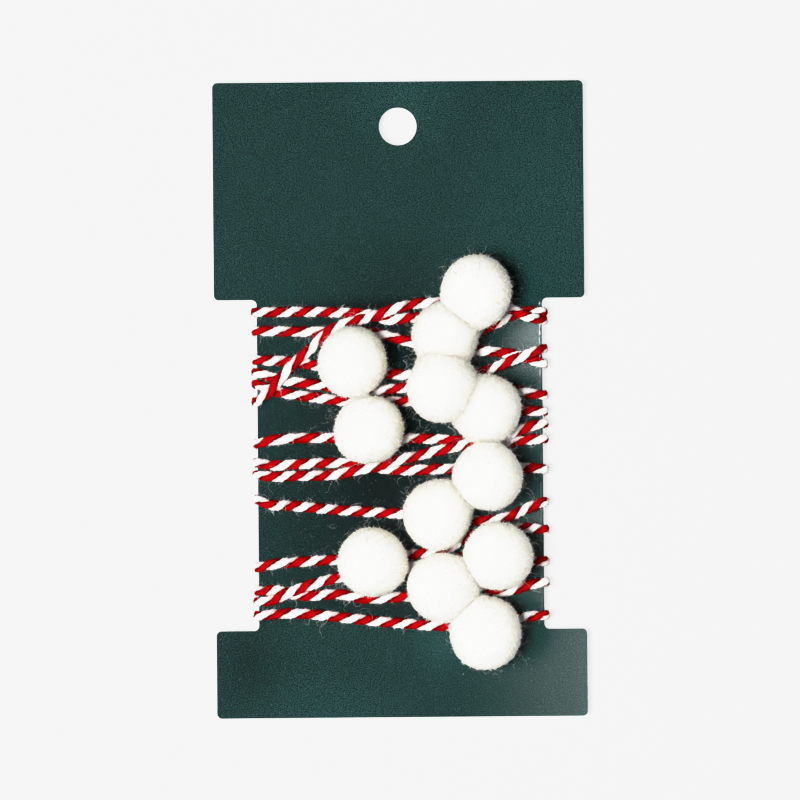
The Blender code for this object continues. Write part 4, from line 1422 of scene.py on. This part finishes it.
class TRIM_OT_card(bpy.types.Operator):
    """Model the printed card with its hang hole and cut edge"""

    bl_idname = "trim.card"
    bl_label = "Make the card"

    def execute(self, context):
        board = model_board(context.scene.trim_board)
        finish_piece(board, "card_green", "card")
        return {"FINISHED"}


class TRIM_OT_twine(bpy.types.Operator):
    """Twist a red and a white strand along the wound path"""

    bl_idname = "trim.twine"
    bl_label = "Wind the twine"

    def execute(self, context):
        red, white, hairs = model_twine(context.scene.trim_twine)
        finish_piece(red, "twine_red", "twine")
        finish_piece(white, "pompom_white", "twine")
        finish_piece(hairs, "pompom_white")
        return {"FINISHED"}


class TRIM_OT_pompoms(bpy.types.Operator):
    """Felt the pompoms and raise their pile"""

    bl_idname = "trim.pompoms"
    bl_label = "Make the pompoms"

    def execute(self, context):
        settings = context.scene.trim_pompoms
        wool, fleece = tuple(settings.wool), tuple(settings.fleece)
        felt = felted_wool("felted_wool", wool, depth=0.008, painted_hollow_shade=0.87, glow=0.0)
        # the pile's glow is painted light that stands in for light scattered between fibres
        fibre = felted_wool("wool_pile", fleece, depth=0.0006, painted_hollow_shade=0.98, glow=0.09)
        for pompom in POMPOMS:
            piece = model_pompom(pompom, settings, felt, fibre)
            finish_piece(piece, "pompom_white", pompom.name)
        return {"FINISHED"}


class TRIM_OT_lint(bpy.types.Operator):
    """Lay single loose fibres on the card"""

    bl_idname = "trim.lint"
    bl_label = "Lay loose fibres"

    def execute(self, context):
        finish_piece(model_lint(), "pompom_white")
        return {"FINISHED"}


OPERATORS = (TRIM_OT_stage, TRIM_OT_card, TRIM_OT_twine, TRIM_OT_pompoms, TRIM_OT_lint)


class TRIM_PT_panel(bpy.types.Panel):
    """Lists the steps of the finish"""

    bl_idname = "TRIM_PT_panel"
    bl_label = "Pompom twine"
    bl_space_type = "VIEW_3D"
    bl_region_type = "UI"
    bl_category = "Pompom twine"

    def draw(self, context):
        for operator in OPERATORS:
            self.layout.operator(operator.bl_idname)


SETTINGS = {
    "trim_board": BoardSettings,
    "trim_twine": TwineSettings,
    "trim_pompoms": PompomSettings,
    "trim_stage": StageSettings,
}
CLASSES = (*SETTINGS.values(), *OPERATORS, TRIM_PT_panel)


def register():
    for kind in CLASSES:
        bpy.utils.register_class(kind)
    for name, group in SETTINGS.items():
        setattr(bpy.types.Scene, name, PointerProperty(type=group))


def unregister():
    for name in SETTINGS:
        delattr(bpy.types.Scene, name)
    for kind in reversed(CLASSES):
        bpy.utils.unregister_class(kind)


def main():
    register()
    bpy.ops.trim.stage()
    bpy.ops.trim.card()
    bpy.ops.trim.twine()
    bpy.ops.trim.pompoms()
    bpy.ops.trim.lint()


if __name__ == "__main__":
    main()
